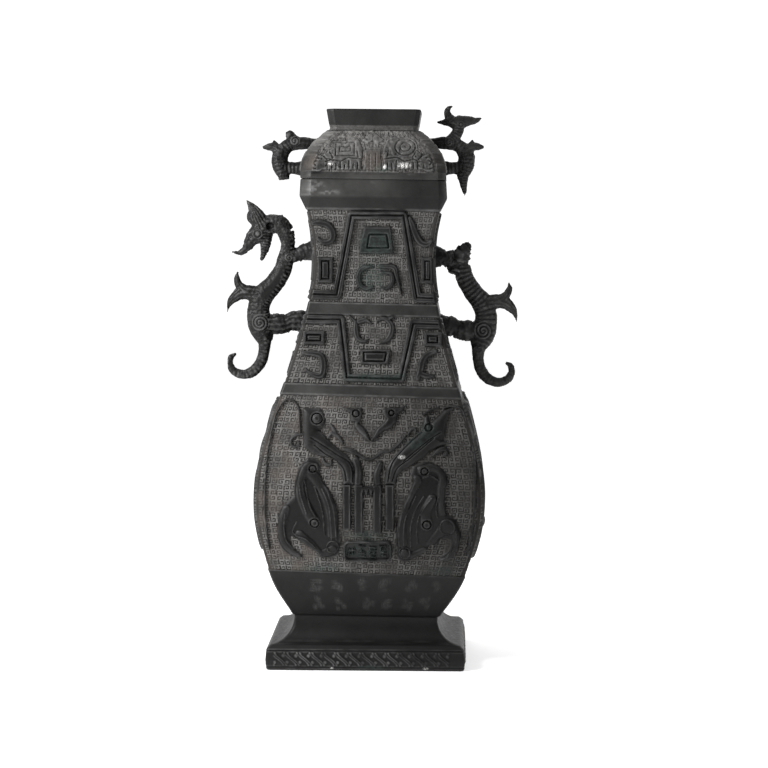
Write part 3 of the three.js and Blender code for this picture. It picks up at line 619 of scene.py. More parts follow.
LID_BROW = [
    (7.5, 403), (11, 410.5), (17, 413), (24, 408), (31, 403.5), (38, 399), (44, 393), (44, 386.5),
    (8.5, 386.5),
]
LID_EYE_BOX = (14, 397.6, 28.5, 407.6)
LID_EYE_OVAL = (25.0, 404.0)
LID_OVAL_RADIUS = 6.2
LID_NOSE = (-7, 386.5, 7, 402.5)
LID_PEAK = [(-0.5, 417), (-0.5, 409), (4, 406.5), (9.5, 409.5)]
LID_PEAK_LINE = [(0, 417), (9.8, 409)]
LID_TEETH_PITCH = 3.3
LID_JAW = (43.5, 392.0)
LID_JAW_RADIUS = 8.0
LID_JAW_PITCH = 2.9
LID_CUTS = [
    [(13, 412.5), (7, 406), (6.5, 396)],
    [(20, 410.5), (28.5, 402.5)],
    [(33, 400.5), (31, 395.5), (36, 393)],
    [(9, 395), (19, 396), (24, 393.5), (31, 394.5)],
    [(12, 401), (11, 396.5)],
    [(38, 397.5), (34.5, 393.5), (36, 389.5)],
]


def lid_design(u, z):
    """A mask in low relief: peaked brow, eyes, slotted nose, jaw scrolls and rows of teeth."""
    x = np.abs(u)
    mask = plateau(polygon(x, z, LID_BROW), 1.1)
    for path in LID_CUTS:
        mask = mask - 0.8 * groove(line(x, z, curved(path)), 1.7)
    slot = groove(x % LID_TEETH_PITCH - LID_TEETH_PITCH / 2, 1.9)
    mask -= 0.8 * slot * (z < 392.5 + 1.5 * np.sin(x * 1.1)) * (x > 9) * (x < 37)
    square = box(x, z, *LID_EYE_BOX)
    oval = np.hypot((x - LID_EYE_OVAL[0]) / 1.25, z - LID_EYE_OVAL[1])
    rim = oval - LID_OVAL_RADIUS
    eye_left = 0.9 * groove(square, 2.0) + 0.8 * groove(square + 3.2, 1.5)
    eye_right = 0.9 * groove(rim, 1.9) + 0.7 * groove(oval - 3.2, 1.5) + 0.8 * groove(oval, 2.2)
    mask = np.maximum(mask, plateau(np.where(u < 0, square, rim) - 1.5, 1.0))
    mask = mask - np.where(u < 0, eye_left, eye_right)
    nose = box(x, z, *LID_NOSE)
    slots = groove(x - 6.6, 2.2) * (z > 394) + 0.6 * groove(x - 2.4, 1.5) * (z < 399)
    mask = np.maximum(mask, 0.8 * plateau(nose, 1.0)) - 0.8 * slots * plateau(nose - 1, 1.0)
    mask = np.maximum(mask, plateau(polygon(x, z, LID_PEAK), 0.9))
    mask = mask - 0.9 * groove(line(x, z, LID_PEAK_LINE), 1.6)
    jaw = disc(x, z, LID_JAW, 0)
    wave = np.cos(jaw / LID_JAW_PITCH * 2 * math.pi)
    scroll = plateau(jaw - LID_JAW_RADIUS, 1.0) * (0.35 + 0.65 * smooth(1.2 + 2.2 * wave))
    worn = 0.75 + 0.5 * noise(u, z, 2.6, 61)
    return np.clip(np.maximum(mask, scroll), 0, 1) * worn


# The leiwen ground of small squared spirals, one of which is drawn here

SPIRAL = ["#####.", "#...#.", "#.#.#.", "#.###.", "#.....", "######"]
TILE = np.array([[mark == "#" for mark in row] for row in SPIRAL], float)
TILE_CELLS = len(SPIRAL)


def leiwen(rows, columns):
    """A field of squared spirals, each tile turned at random, one value per cell."""
    down = -(-rows // TILE_CELLS) * TILE_CELLS
    across = -(-columns // TILE_CELLS) * TILE_CELLS
    rng = np.random.default_rng(3)
    field = np.zeros((down, across))
    for r in range(0, down, TILE_CELLS):
        for c in range(0, across, TILE_CELLS):
            tile = TILE[:, ::-1] if rng.random() < 0.5 else TILE
            tile = tile[::-1] if rng.random() < 0.5 else tile
            tile = tile.T if rng.random() < 0.3 else tile
            field[r : r + TILE_CELLS, c : c + TILE_CELLS] = tile
    return field[:rows, :columns]


def fine_leiwen(rows, columns):
    """The same spirals at two thirds of the size: three vertices take two cells between them."""
    cells = np.kron(leiwen(2 * rows // 3 + 2, 2 * columns // 3 + 2), np.ones((3, 3)))
    pairs = cells[: 2 * rows, : 2 * columns].reshape(rows, 2, columns, 2)
    return pairs.mean((1, 3))


# Rings of four faces and the meshes built from them


class Profile:
    """Rows of a ring: height, half width, corner bevels, whether outside, register and ground cell."""

    def __init__(self):
        self.z, self.w, self.corner = [], [], []
        self.outside, self.register, self.cell = [], [], []

    def add(self, z, w, corner=SHARP, outside=True, register=None, cell=0):
        self.z.append(float(z))
        self.w.append(float(w))
        self.corner.append(corner)
        self.outside.append(outside)
        self.register.append(register)
        self.cell.append(cell)

    def __len__(self):
        return len(self.z)

    def path(self, knots, spacing, outside=True, last=True):
        """Rows along straight runs between (z, half width, corner) knots, an even number in each."""
        for (z0, w0, c0), (z1, w1, c1) in zip(knots, knots[1:]):
            count = 2 * max(1, math.ceil(math.hypot(z1 - z0, w1 - w0) / spacing / 2))
            for k in range(count):
                t = k / count
                corner = (lerp(c0[0], c1[0], t), lerp(c0[1], c1[1], t))
                self.add(lerp(z0, z1, t), lerp(w0, w1, t), corner, outside)
        if last:
            self.add(*knots[-1], outside)

    def body(self, z0, z1, count, register=None, cell=0, last=False):
        """Rows up the body's curve, numbered from the first cell of the register's ground."""
        for k in range(count + last):
            z = lerp(z0, z1, k / count)
            self.add(z, body_half_width(z), SHARP, True, register, cell + k)


def face_points(profile, face, count):
    """Upright points of one face, rows by columns, with the place along the face in millimetres."""
    z = np.array(profile.z)[:, None]
    w = np.array(profile.w)[:, None]
    d = w * DEPTH_RATIO
    left, right = np.array(profile.corner, float).T[..., None]
    half = w if face in (FRONT, BACK) else d
    start = left if face in (FRONT, LEFT) else right
    bevels = left + right if face in (FRONT, BACK) else 2 * start
    u = (-half + start) + (2 * half - bevels) * np.linspace(0, 1, count + 1)[None, :]
    x, y = {FRONT: (u, -d), RIGHT: (w, u), BACK: (-u, d), LEFT: (-w, -u)}[face]
    return np.stack(np.broadcast_arrays(x, y, z), -1), u


OUTWARD = {FRONT: (0, -1), RIGHT: (1, 0), BACK: (0, 1), LEFT: (-1, 0)}


def row_slopes(profile):
    """How far each row faces outward and upward. Outside rows are measured against their own kind."""
    z = np.array(profile.z)
    w = np.array(profile.w)
    dz = np.gradient(z)
    dw = np.gradient(w)
    outside = profile.outside
    for i in range(1, len(z) - 1):
        if outside[i] and not outside[i + 1]:
            dz[i], dw[i] = z[i] - z[i - 1], w[i] - w[i - 1]
        if outside[i] and not outside[i - 1]:
            dz[i], dw[i] = z[i + 1] - z[i], w[i + 1] - w[i]
    if outside[0] and not outside[-1]:
        dz[0], dw[0] = z[1] - z[0], w[1] - w[0]
    length = np.maximum(np.hypot(dz, dw), 1e-6)
    return dz / length, -dw / length


VALUE_NAMES = ("ground", "wear", "green", "dust", "chip", "tone_and_light", "shade", "brown", "painted_shade")
CREASE_DEGREES = 52


def new_object(name, data):
    """An object in the scene."""
    thing = bpy.data.objects.new(name, data)
    bpy.context.scene.collection.objects.link(thing)
    return thing


def write_value(mesh, name, numbers):
    """One number per vertex for the material."""
    layer = mesh.attributes.new(name, "FLOAT", "POINT")
    layer.data.foreach_set("value", np.asarray(numbers, np.float32))


class Part:
    """A closed mesh gathered from grids of points, with values per vertex for the material."""

    def __init__(self):
        self.points = []
        self.faces = []
        self.values = {name: [] for name in VALUE_NAMES}
        self.count = 0

    def vertices(self, points, values):
        """Adds a grid of points and returns the grid of their numbers."""
        shape = points.shape[:-1]
        first = self.count
        self.count += math.prod(shape)
        self.points.append(points.reshape(-1, 3))
        for name, store in self.values.items():
            store.append(np.broadcast_to(values.get(name, 0.0), shape).reshape(-1))
        return np.arange(first, self.count).reshape(shape)

    def join(self, *corners):
        """Adds faces between grids of vertex numbers."""
        self.faces.append(np.stack([c.ravel() for c in corners], -1))

    def build(self, name, material):
        points = np.concatenate(self.points) * MM
        mesh = bpy.data.meshes.new(name)
        flat = np.concatenate([f.ravel() for f in self.faces])
        sizes = np.concatenate([np.full(len(f), f.shape[1]) for f in self.faces])
        mesh.vertices.add(len(points))
        mesh.vertices.foreach_set("co", points.ravel())
        mesh.loops.add(len(flat))
        mesh.loops.foreach_set("vertex_index", flat)
        mesh.polygons.add(len(sizes))
        mesh.polygons.foreach_set("loop_start", np.concatenate([[0], np.cumsum(sizes)[:-1]]))
        mesh.update(calc_edges=True)
        for key, store in self.values.items():
            write_value(mesh, key, np.concatenate(store))
        mesh.validate()
        mesh.shade_smooth()
        mesh.set_sharp_from_angle(angle=math.radians(CREASE_DEGREES))
        mesh.materials.append(material)
        return new_object(name, mesh)


def ring(part, profile, columns, shape, closed):
    """A ring of four faces through the profile's rows. The front has every row and column; the other
    faces have every second row. shape gives a height and the material's values for each point. An
    open ring is capped at both ends."""
    assert len(profile) % 2 == (0 if closed else 1)
    outward, upward = row_slopes(profile)
    grids = {}
    for face in (FRONT, RIGHT, BACK, LEFT):
        points, u = face_points(profile, face, columns[face])
        height, values = shape(profile, face, u, points)
        ox, oy = OUTWARD[face]
        normals = np.stack([outward * ox, outward * oy, upward], -1)[:, None, :]
        step = 1 if face == FRONT else 2
        placed = settle((points + height[..., None] * normals)[::step])
        placed[..., 0] += FOOT_CENTRE_X
        grids[face] = part.vertices(placed, {k: v[::step] for k, v in values.items()})
    for grid in grids.values():
        below, above = grid, np.roll(grid, -1, 0)
        if not closed:
            below, above = grid[:-1], grid[1:]
        part.join(below[:, :-1], below[:, 1:], above[:, 1:], above[:, :-1])
    stitch_even(part, grids[RIGHT][:, -1], grids[BACK][:, 0], closed)
    stitch_even(part, grids[BACK][:, -1], grids[LEFT][:, 0], closed)
    stitch_fine(part, grids[FRONT][:, -1], grids[RIGHT][:, 0], closed, True)
    stitch_fine(part, grids[FRONT][:, 0], grids[LEFT][:, -1], closed, False)
    if not closed:
        first, last = (np.concatenate([grid[row] for grid in grids.values()]) for row in (0, -1))
        part.faces += [first[::-1][None, :], last[None, :]]


def stitch_even(part, a, b, closed):
    """Joins two columns that both have every second row."""
    a1, b1 = np.roll(a, -1), np.roll(b, -1)
    if not closed:
        a, b, a1, b1 = a[:-1], b[:-1], a1[:-1], b1[:-1]
    part.join(a, b, b1, a1)


def stitch_fine(part, fine, coarse, closed, forward):
    """Joins a column with every row to one with every second row."""
    lower, middle, upper = fine[0::2], fine[1::2], np.roll(fine[0::2], -1)
    c0, c1 = coarse, np.roll(coarse, -1)
    if not closed:
        lower, upper, c0, c1 = lower[:-1], upper[:-1], c0[:-1], c1[:-1]
    for triangle in ((lower, c0, middle), (middle, c0, c1), (middle, c1, upper)):
        part.join(*(triangle if forward else triangle[::-1]))


# What is on each face of the vessel. Spots are (x, z, half width, half height)

VERDIGRIS = [
    (-34, 80.5, 17, 3), (59, 78.5, 12, 4), (3, 107, 20, 4), (2, 95, 19, 6), (46, 187, 9, 7),
    (38, 178, 8, 5), (8, 330, 14, 11), (5, 305, 11, 15), (8, 228, 28, 4), (6, 3, 11, 1.6), (12, 388, 6, 4),
]
# Small chips cut into the surface and painted near white, which also stand as painted glints
CHIPS_AND_GLINTS = [(28.5, 167.5, 2.6, 1.4), (-25.7, 2.2, 1.2, 0.6), (47, 2.2, 2.2, 1), (-27, 391.5, 1.7, 1.3),
         (14.5, 389, 1.5, 1.7), (29.5, 390, 4.8, 2.0)]
LID_BROWN = [(6, 394, 9, 8), (-44, 395, 7, 8)]
COLLAR_SCUFFS = [(-40, 373, 9, 6), (-27, 369.5, 9, 2.2), (7, 377.4, 3, 1)]
SIDE_BOSS = ((40.5, 116.5), 4.4, 1.8)  # centre, radius, height
BACK_BOSS = 0.7  # of that height, on the back
REGISTERS = {
    "belly": (BELLY, belly_front, belly_plain, BELLY_RELIEF),
    "lower neck": (LOWER_NECK, neck_front, neck_plain, NECK_RELIEF),
    "upper neck": (UPPER_NECK, neck_front, neck_plain, NECK_RELIEF),
}
BAND_TOP = 42.0  # the inscribed band starts over it
ROPE_SIDE = (1.9, 16.1)
LEDGE_TOP = 21.0

# How pale the patina is at each height, with painted top light on the dome's top and painted shade on the
# waist and the bevels that face down, and how much painted shade darkens the front there
TONE_AND_LIGHT_Z = [0, 17, 20, 38, 44, 60, 75, 77, 212, 215, 283, 290, 350, 358, 365, 367, 379, 386, 417, 419, 434]
TONE_AND_LIGHT = [0.13, 0.13, 0.12, 0.05, 0.04, 0.08, 0.12, 0.32, 0.35, 0.42, 0.42, 0.42, 0.5, 0.16, 0.14, 0.52, 0.52,
        0.55, 1.0, 0.17, 0.17]
SHADE_Z = [215, 225, 355, 366]
SHADE_RIGHT = [0.62, 0.34, 0.3, 0.66]
SHADE_LEFT = [0, 0.15, 0.15, 0]
SHADE_OTHER_FACES = 0.3


def stands_out(h):
    """How far a height field stands above its surroundings: worn edges do, grooves stand below. Raised edges
    are then painted paler, as wear and as highlight, and grooves darker, as shade.
    """
    rows = np.pad(h, 2, mode="edge")
    shifts = [(i, j) for i in (0, 2, 4) for j in (0, 2, 4)]
    around = sum(rows[i : i + h.shape[0], j : j + h.shape[1]] for i, j in shifts) / len(shifts)
    return (h - around) / 0.35


def spots(points, places):
    """1 in each place on the front and 0 outside."""
    x, z = points[..., 0], points[..., 2]
    amount = np.zeros(x.shape)
    for cx, cz, rx, rz in places:
        amount = np.maximum(amount, smooth(1.4 - np.hypot((x - cx) / rx, (z - cz) / rz)))
    return amount


def register_relief(face, u, points, name, cells):
    """Height, ground and dust of the rows that belong to one register."""
    (bottom, top), front, plain, relief = REGISTERS[name]
    z = points[..., 2]
    scale = DEPTH_RATIO if face in (RIGHT, LEFT) else 1
    sunk = smooth((z - bottom) / 0.9) * smooth((top - z) / 0.9)
    edge = np.abs(u) - np.abs(u[:, :1])
    if face == FRONT:
        placed = settle(points)
        design = front(placed[..., 0], placed[..., 2])
        field = fine_leiwen(int(cells.max()) + 1, u.shape[1])[cells]
    else:
        design = plain(u, z, scale)
        field = leiwen(int(cells.max()) // 2 + 1, u.shape[1])[cells // 2]
    design = design * plateau(edge, 1.0)
    worn = 0.35 + 0.9 * smooth(1.8 * noise(u, z, 9, 21 + face) - 0.35) + 0.25 * noise(u, z, 1.4, 26)
    open_ground = smooth(1 - design / 0.25) * plateau(edge + 1.2, 1.0) * (sunk > 0.99)
    h = -GROUND_DEPTH * sunk + LEIWEN_HEIGHT * field * worn * open_ground
    h += np.minimum(design, DESIGN_LIMIT) * sunk * (relief + GROUND_DEPTH)
    if name == "belly" and face != FRONT:
        centre, radius, height = SIDE_BOSS
        height *= BACK_BOSS if face == BACK else 1
        h += height * crowned(disc(np.abs(u) / scale, z, centre, radius), radius)
    return h, smooth(1 - design / 0.4) * sunk, open_ground * field * smooth(worn)


def painted_shade_falloff(face, placed):
    """Painted shade: the front darkens towards the right, and a little at the neck's left end; the other
    faces are darkened evenly.
    """
    x, z = placed[..., 0], placed[..., 2]
    if face != FRONT:
        return np.full(x.shape, SHADE_OTHER_FACES)
    left = np.interp(z, SHADE_Z, SHADE_LEFT) * smooth((-5 - x) / 25)
    return left + np.interp(z, SHADE_Z, SHADE_RIGHT) * smooth((x + 60) / 135)


def vessel_shape(profile, face, u, points):
    """Height over the plain form, and the material's values, of one face of the vessel."""
    z = points[..., 2]
    placed = settle(points)
    outside = np.array(profile.outside)[:, None]
    cells = np.array(profile.cell)
    h, ground, dust = np.zeros((3, *u.shape))
    for name in REGISTERS:
        rows = np.array([r == name for r in profile.register])
        if rows.any():
            found = register_relief(face, u[rows], points[rows], name, cells[rows])
            h[rows], ground[rows], dust[rows] = found
    lower = outside & (z < BELLY[0])
    if lower.any():
        band = rope(u + (ROPE_SHIFT if face == FRONT else 0.0), z, float(np.max(np.abs(u))))
        h += np.where(lower & (z > ROPE_SIDE[0]) & (z < ROPE_SIDE[1]), 0.75 * band, 0)
        h += 0.5 * (noise(u, z, 15, 31 + face) - 0.5) * (lower & (z > LEDGE_TOP))
    design = np.clip((h + GROUND_DEPTH) / 1.5, 0, 1) * (ground < 0.5) * (h > 0.3)
    # Patina paleness by height, with painted light and shade in it; the raised designs are darker
    tone_and_light = np.interp(z, TONE_AND_LIGHT_Z, TONE_AND_LIGHT) * (1 - 0.85 * design)
    values = {"ground": ground, "dust": dust, "tone_and_light": tone_and_light, "painted_shade": painted_shade_falloff(face, placed)}
    collar = outside & (z > COLLAR[0]) & (z < COLLAR[1])
    if face == FRONT:
        cut = inscription(placed[..., 0], placed[..., 2]) * (lower & (z > BAND_TOP)) if lower.any() else 0
        chips_and_glints = spots(placed, CHIPS_AND_GLINTS) * outside
        h -= 0.4 * cut + 0.3 * chips_and_glints
        earth = smooth(2.2 * noise(u, z, 9, 91) - 0.7) * (0.3 + 0.35 * smooth(-placed[..., 0] / 50))
        values["dust"] = dust + 0.35 * cut
        values["chip"] = chips_and_glints
        values["green"] = spots(placed, VERDIGRIS) * outside
        values["brown"] = earth * ground * (z > BELLY[0]) * (z < BELLY[1])
        broken = smooth(2.4 * noise(u, z * 1.6, 2.2, 83) - 0.75) * (0.6 + 0.6 * noise(u, z, 0.9, 84))
        scuffs = 1.5 * collar * spots(placed, COLLAR_SCUFFS) * broken
    else:
        broken = smooth(2.4 * noise(u, z * 1.5, 5, 81) - 0.9)
        scuffs = collar * broken * (0.35 + 0.65 * noise(u, z, 1.1, 82))
    relief = np.zeros(h.shape)
    relief[profile.outside] = stands_out(h[profile.outside])
    # Raised edges painted paler, as wear and as painted highlight; grooves painted dark as shade
    values["wear"] = np.clip(relief, 0, 1) * (1 - 0.55 * design * (z > BELLY[0])) + 0.7 * scuffs
    values["shade"] = np.clip(-relief, 0, 1)
    return h, values


# The vessel in five rings

BELLY_ROWS = 144
BELLY_MIDDLE = lerp(*BELLY, 0.5)
SHOULDER = lerp(BELLY[1], LOWER_NECK[0], 0.5)
NECK_MIDDLE = lerp(LOWER_NECK[1], UPPER_NECK[0], 0.5)


def face_columns(front, side, back):
    """How many columns each face of a ring has."""
    return {FRONT: front, RIGHT: side, BACK: back, LEFT: side}


VESSEL_COLUMNS = face_columns(300, 120, 150)
NECK_COLUMNS = face_columns(240, 96, 120)
FOOT_COLUMNS = face_columns(230, 100, 124)
LID_COLUMNS = face_columns(220, 86, 110)


def with_corner(corner, *pairs):
    """Knots of a profile, from pairs of height and half width."""
    return [(z, w, corner) for z, w in pairs]


def inside_knots(heights):
    """Knots on the inside of the body's wall."""
    return [(z, float(body_half_width(z)) - WALL, INSIDE) for z in heights]


def dressed(thing, node):
    """Every piece rides on the one body and stands for a CAD node."""
    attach(thing, "root")
    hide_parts(node)
    return thing


def band(name, profile, inner, spacing, columns, material):
    """A closed ring of the vessel's wall. It has an even number of rows."""
    profile.path(inner, spacing, outside=False)
    if len(profile) % 2:
        profile.add(profile.z[-1], profile.w[-1] + 0.4, INSIDE, False)
    part = Part()
    ring(part, profile, columns, vessel_shape, closed=True)
    return dressed(part.build(name, material), "vessel")


def vessel_foot(material):
    p = Profile()
    wide = FOOT_HALF_WIDTH - FOOT_WALL
    hollow = [(FLOOR_BOTTOM, 2, CENTRE), (FLOOR_BOTTOM, WAIST[1] - WALL, INSIDE)]
    hollow += with_corner(SHARP, (24, 53.5), (18, 60), (13, 69), (10, wide), (0, wide))
    p.path(hollow, 12, outside=False, last=False)
    p.path(with_corner(SHARP, (0, wide), (0, 75.6), (0.5, 76.6), (1.8, 77.2)), 1.2, last=False)
    p.path(with_corner(SHARP, (1.8, 77.2), (8, FOOT_HALF_WIDTH), (16.2, 76.8)), 0.52, last=False)
    flare = [(16.2, 76.8), (17.2, 76.2), (19.6, 73.6)]
    steps = 12
    for k in range(1, steps + 1):
        a = k / steps * math.pi / 2
        z = FOOT_LEDGE[0] + (WAIST[0] - FOOT_LEDGE[0]) * (1 - math.cos(a))
        flare.append((z, FOOT_LEDGE[1] - (FOOT_LEDGE[1] - WAIST[1]) * math.sin(a)))
    flare += [(39.6, 56.1), (BODY_Z[0], BODY_W[0])]
    p.path(with_corner(SHARP, *flare), 1.3, last=False)
    p.body(BODY_Z[0], BELLY[0], 62, last=True)
    rim = [(BELLY[0], float(body_half_width(BELLY[0])) - 0.5, SHARP), *inside_knots([BELLY[0]])]
    p.path(rim, 6, outside=False, last=False)
    floor = inside_knots([BELLY[0], 60, 50])
    floor += [(FLOOR_TOP, float(body_half_width(50)) - WALL - 4, INSIDE), (FLOOR_TOP, 2, CENTRE)]
    p.path(floor, 14, outside=False)
    if len(p) % 2 == 0:
        p.add(FLOOR_TOP, 1.6, CENTRE, False)
    part = Part()
    ring(part, p, FOOT_COLUMNS, vessel_shape, closed=False)
    return dressed(part.build("vessel_foot", material), "vessel")


def vessel_belly_lower(material):
    p = Profile()
    p.body(BELLY[0], BELLY_MIDDLE, BELLY_ROWS, "belly", last=True)
    inner = inside_knots([BELLY_MIDDLE, 120, 100, BELLY[0]])
    return band("vessel_belly_lower", p, inner, 25, VESSEL_COLUMNS, material)


def vessel_belly_upper(material):
    p = Profile()
    p.body(BELLY_MIDDLE, BELLY[1], BELLY_ROWS, "belly", cell=BELLY_ROWS)
    p.body(BELLY[1], SHOULDER, 6, last=True)
    inner = inside_knots([SHOULDER, 195, 170, BELLY_MIDDLE])
    return band("vessel_belly_upper", p, inner, 25, VESSEL_COLUMNS, material)


def vessel_neck_lower(material):
    p = Profile()
    p.body(SHOULDER, LOWER_NECK[0], 6)
    p.body(*LOWER_NECK, 108, "lower neck")
    p.body(LOWER_NECK[1], NECK_MIDDLE, 8, last=True)
    inner = inside_knots([NECK_MIDDLE, 250, SHOULDER])
    return band("vessel_neck_lower", p, inner, 25, NECK_COLUMNS, material)


def vessel_neck_upper(material):
    p = Profile()
    p.body(NECK_MIDDLE, UPPER_NECK[0], 8)
    p.body(*UPPER_NECK, 144, "upper neck")
    collar = [(UPPER_NECK[1], BODY_W[-1], SHARP)]
    collar += with_corner(COLLAR_CORNER, (365.5, 56.8), (367, 57), (378.6, 56.3), (379.5, 55.6))
    p.path(collar + [(379.5, 52, MOUTH_CORNER)], 1.1, last=False)
    inner = with_corner(MOUTH_CORNER, (379.5, 52), (364, 52)) + inside_knots([352, 330, 308, NECK_MIDDLE])
    return band("vessel_neck_upper", p, inner, 20, NECK_COLUMNS, material)


# The lid

LID_DOME = [(384.8, 56.2), (392, 55), (400, 51.9), (407, 47), (413.5, 40.8), (417.6, 36.4)]
LID_RIM = [(379.8, 56), (380.4, 56.4), (384.8, 56.2)]
DOME_BOTTOM = 385
DOME_TOP = 417.2
DOME_ROWS = 80
RING_FOOT = (416.4, 417.9, 421.5)  # seam, foot and end of the fillet

# How pale the dome is painted at each height: paler towards the top, as dust and as painted top light
TOP_DUST_AND_LIGHT_Z = [385, 400, 408, 417]
TOP_DUST_AND_LIGHT = [0.05, 0.3, 1.1, 1.5]


def lid_shape(profile, face, u, points):
    """Height over the plain dome, and the material's values, of one face of the lid."""
    z = points[..., 2]
    placed = settle(points)
    outside = np.array(profile.outside)[:, None]
    on_dome = outside & (z > DOME_BOTTOM) & (z < DOME_TOP)
    edge = np.abs(u) - np.abs(u[:, :1])
    if face == FRONT:
        design = lid_design(placed[..., 0] - DRIFT_X[-1], placed[..., 2])
    else:
        design = lid_design(u / (1 if face == BACK else DEPTH_RATIO), z)
    design = design * plateau(edge, 1.5) * on_dome
    pattern, cell = (fine_leiwen, 0.5) if face == FRONT else (leiwen, 1.0)
    row = np.clip(((z[:, 0] - DOME_BOTTOM) / cell).astype(int), 0, DOME_ROWS - 1)
    spirals = pattern(DOME_ROWS, u.shape[1])[row]
    lines = spirals * smooth(1 - design / 0.25) * on_dome * plateau(edge + 1, 1)
    pits = smooth(noise(u, z, 1.5, 73) * noise(u, z, 5.0, 74) * 5 - 2.2) * on_dome
    cast = 0.5 * (noise(u, z, 1.3, 75) + noise(u, z, 3.2, 76) - 1)
    h = LID_RELIEF * design + 0.3 * lines - 0.5 * pits + cast * on_dome * (1 - 0.6 * design)
    speckle = noise(u, z, 1.5, 71) * noise(u, z, 6.0, 72) * 2
    # Tone by height, with painted top light on the dome's top
    values = {"ground": 0.8 * on_dome * smooth(1 - design / 0.4), "tone_and_light": np.interp(z, TONE_AND_LIGHT_Z, TONE_AND_LIGHT)}
    # Dust on the dome, paler towards its top as painted top light too
    dust = on_dome * (0.5 * lines + np.interp(z, TOP_DUST_AND_LIGHT_Z, TOP_DUST_AND_LIGHT) * speckle)
    if face == FRONT:
        values["chip"] = spots(placed, CHIPS_AND_GLINTS) * on_dome
        values["green"] = spots(placed, VERDIGRIS) * on_dome
        values["brown"] = spots(placed, LID_BROWN) * on_dome
        h = h - 0.3 * values["chip"]
    seam = outside & (z > RING_FOOT[0]) & (z < RING_FOOT[1])
    fillet = outside & (z >= RING_FOOT[1]) & (z < RING_FOOT[2])
    relief = stands_out(h) * outside
    # The fillet over the seam is painted pale as well
    values["dust"] = np.maximum(dust, 0.55 * fillet)
    # Raised edges painted paler, as wear and as painted highlight; grooves painted dark as shade
    values["wear"] = np.clip(relief, 0, 1)
    values["shade"] = np.maximum(np.clip(-relief, 0, 1), seam)
    values["painted_shade"] = 0.4 * painted_shade_falloff(face, placed)
    return h, values


def lid_body(material):
    p = Profile()
    under = [(410.3, 2, CENTRE)]
    under += with_corner(MOUTH_CORNER, (410.3, 36.6), (403.8, 42.8), (396.8, 47.7), (388.8, 50.8),
                         (383, 50.5), (383, 48.7), (374.8, 48.7), (374.8, 51.2), (379.8, 51.2))
    p.path(under + with_corner(LID_CORNER, LID_RIM[0]), 12, outside=False, last=False)
    p.path(with_corner(LID_CORNER, *LID_RIM), 1.2, last=False)
    p.path(with_corner(LID_CORNER, *LID_DOME), 0.55, last=False)
    wall = with_corner(LID_CORNER, LID_DOME[-1])
    wall += with_corner(RING_CORNER, (417.9, 34.6), (419.4, 34.1), (422.5, 34.9), (433.2, 36.7), (434, 36.2))
    wall += with_corner(RING_INSIDE, (434, 33.6), (432.6, 33.2), (418.2, 31))
    p.path(wall + [(418.2, 2, CENTRE)], 1.6)
    part = Part()
    ring(part, p, LID_COLUMNS, lid_shape, closed=False)
    return dressed(part.build("lid_body", material), "lid")


# Handles. Each limb is a line of (x, z, width) in the plane of the handles

DRAGON = {
    "body": [(-65, 338.5, 13.5), (-63.4, 328, 11), (-65.2, 318, 13.2), (-68, 308, 14.5),
        (-75, 297.5, 15.5), (-83, 289, 17.5), (-86.9, 278.6, 17.8), (-86.2, 267.5, 19.8),
        (-83.5, 257.5, 17), (-82.4, 251, 10.5)],
    "tail": [(-82.4, 256, 12), (-82.6, 245, 9.2), (-84.9, 236.3, 9.2), (-90.5, 229, 8.8),
        (-98.5, 225.6, 7.8), (-106.3, 227.8, 6.8), (-110.3, 233.5, 6), (-109.3, 239.3, 5),
        (-105, 242.2, 2.2)],
    "upper arm": [(-66, 319, 11), (-56.5, 320.6, 10.6), (-49.8, 323, 13.6), (-38, 324.6, 20)],
    "lower arm": [(-82, 266, 14), (-70, 266, 16.6), (-63.6, 266.3, 13.2), (-58.8, 268.3, 16),
        (-45, 267.9, 17.4)],
    "fin up": [(-88, 290, 12), (-97.5, 292, 10.5), (-102.5, 297.4, 6.6), (-104.2, 302.4, 4.6),
        (-103.2, 307.4, 1.2)],
    "fin down": [(-88, 290, 12), (-99, 291, 11.4), (-106, 287, 8), (-110.8, 281.5, 5),
        (-112.3, 275, 1.2)],
}
DRAGON_HEAD = {
    "neck top": [(-80, 343.8, 15), (-75.5, 345.2, 15), (-69, 344.2, 14.5), (-65, 338.5, 13.5)],
    "snout": [(-80, 343, 16), (-86, 338.5, 16.5), (-92, 333, 11.8), (-96, 326.8, 7.4),
        (-101.5, 322.4, 4.2), (-107.9, 323.4, 1.5)],
    "jaw": [(-80.5, 339, 11.5), (-81.2, 330, 8.8), (-82.4, 323, 5.8), (-84.6, 315.9, 2.2)],
    "crest": [(-83.5, 343, 15), (-88.3, 352.5, 11.8), (-92, 359, 6.2), (-96.2, 363.7, 1.2)],
    "crest curl": [(-87.5, 345, 5), (-92, 347, 4.4), (-94.6, 350.5, 3.6), (-93.6, 354, 3),
        (-91, 353.2, 2.4)],
    "spur": [(-79.6, 255.5, 4.8), (-75.6, 254.6, 4.4)],
}
STUMP = {
    "stump": [(69.5, 306, 12), (73, 315, 13), (74.4, 321.5, 13), (77.5, 326.5, 9.5),
        (80.8, 329.4, 5.5)],
    "knob": [(69, 312, 12), (66.5, 318, 8), (65.5, 324, 6.5)],
}
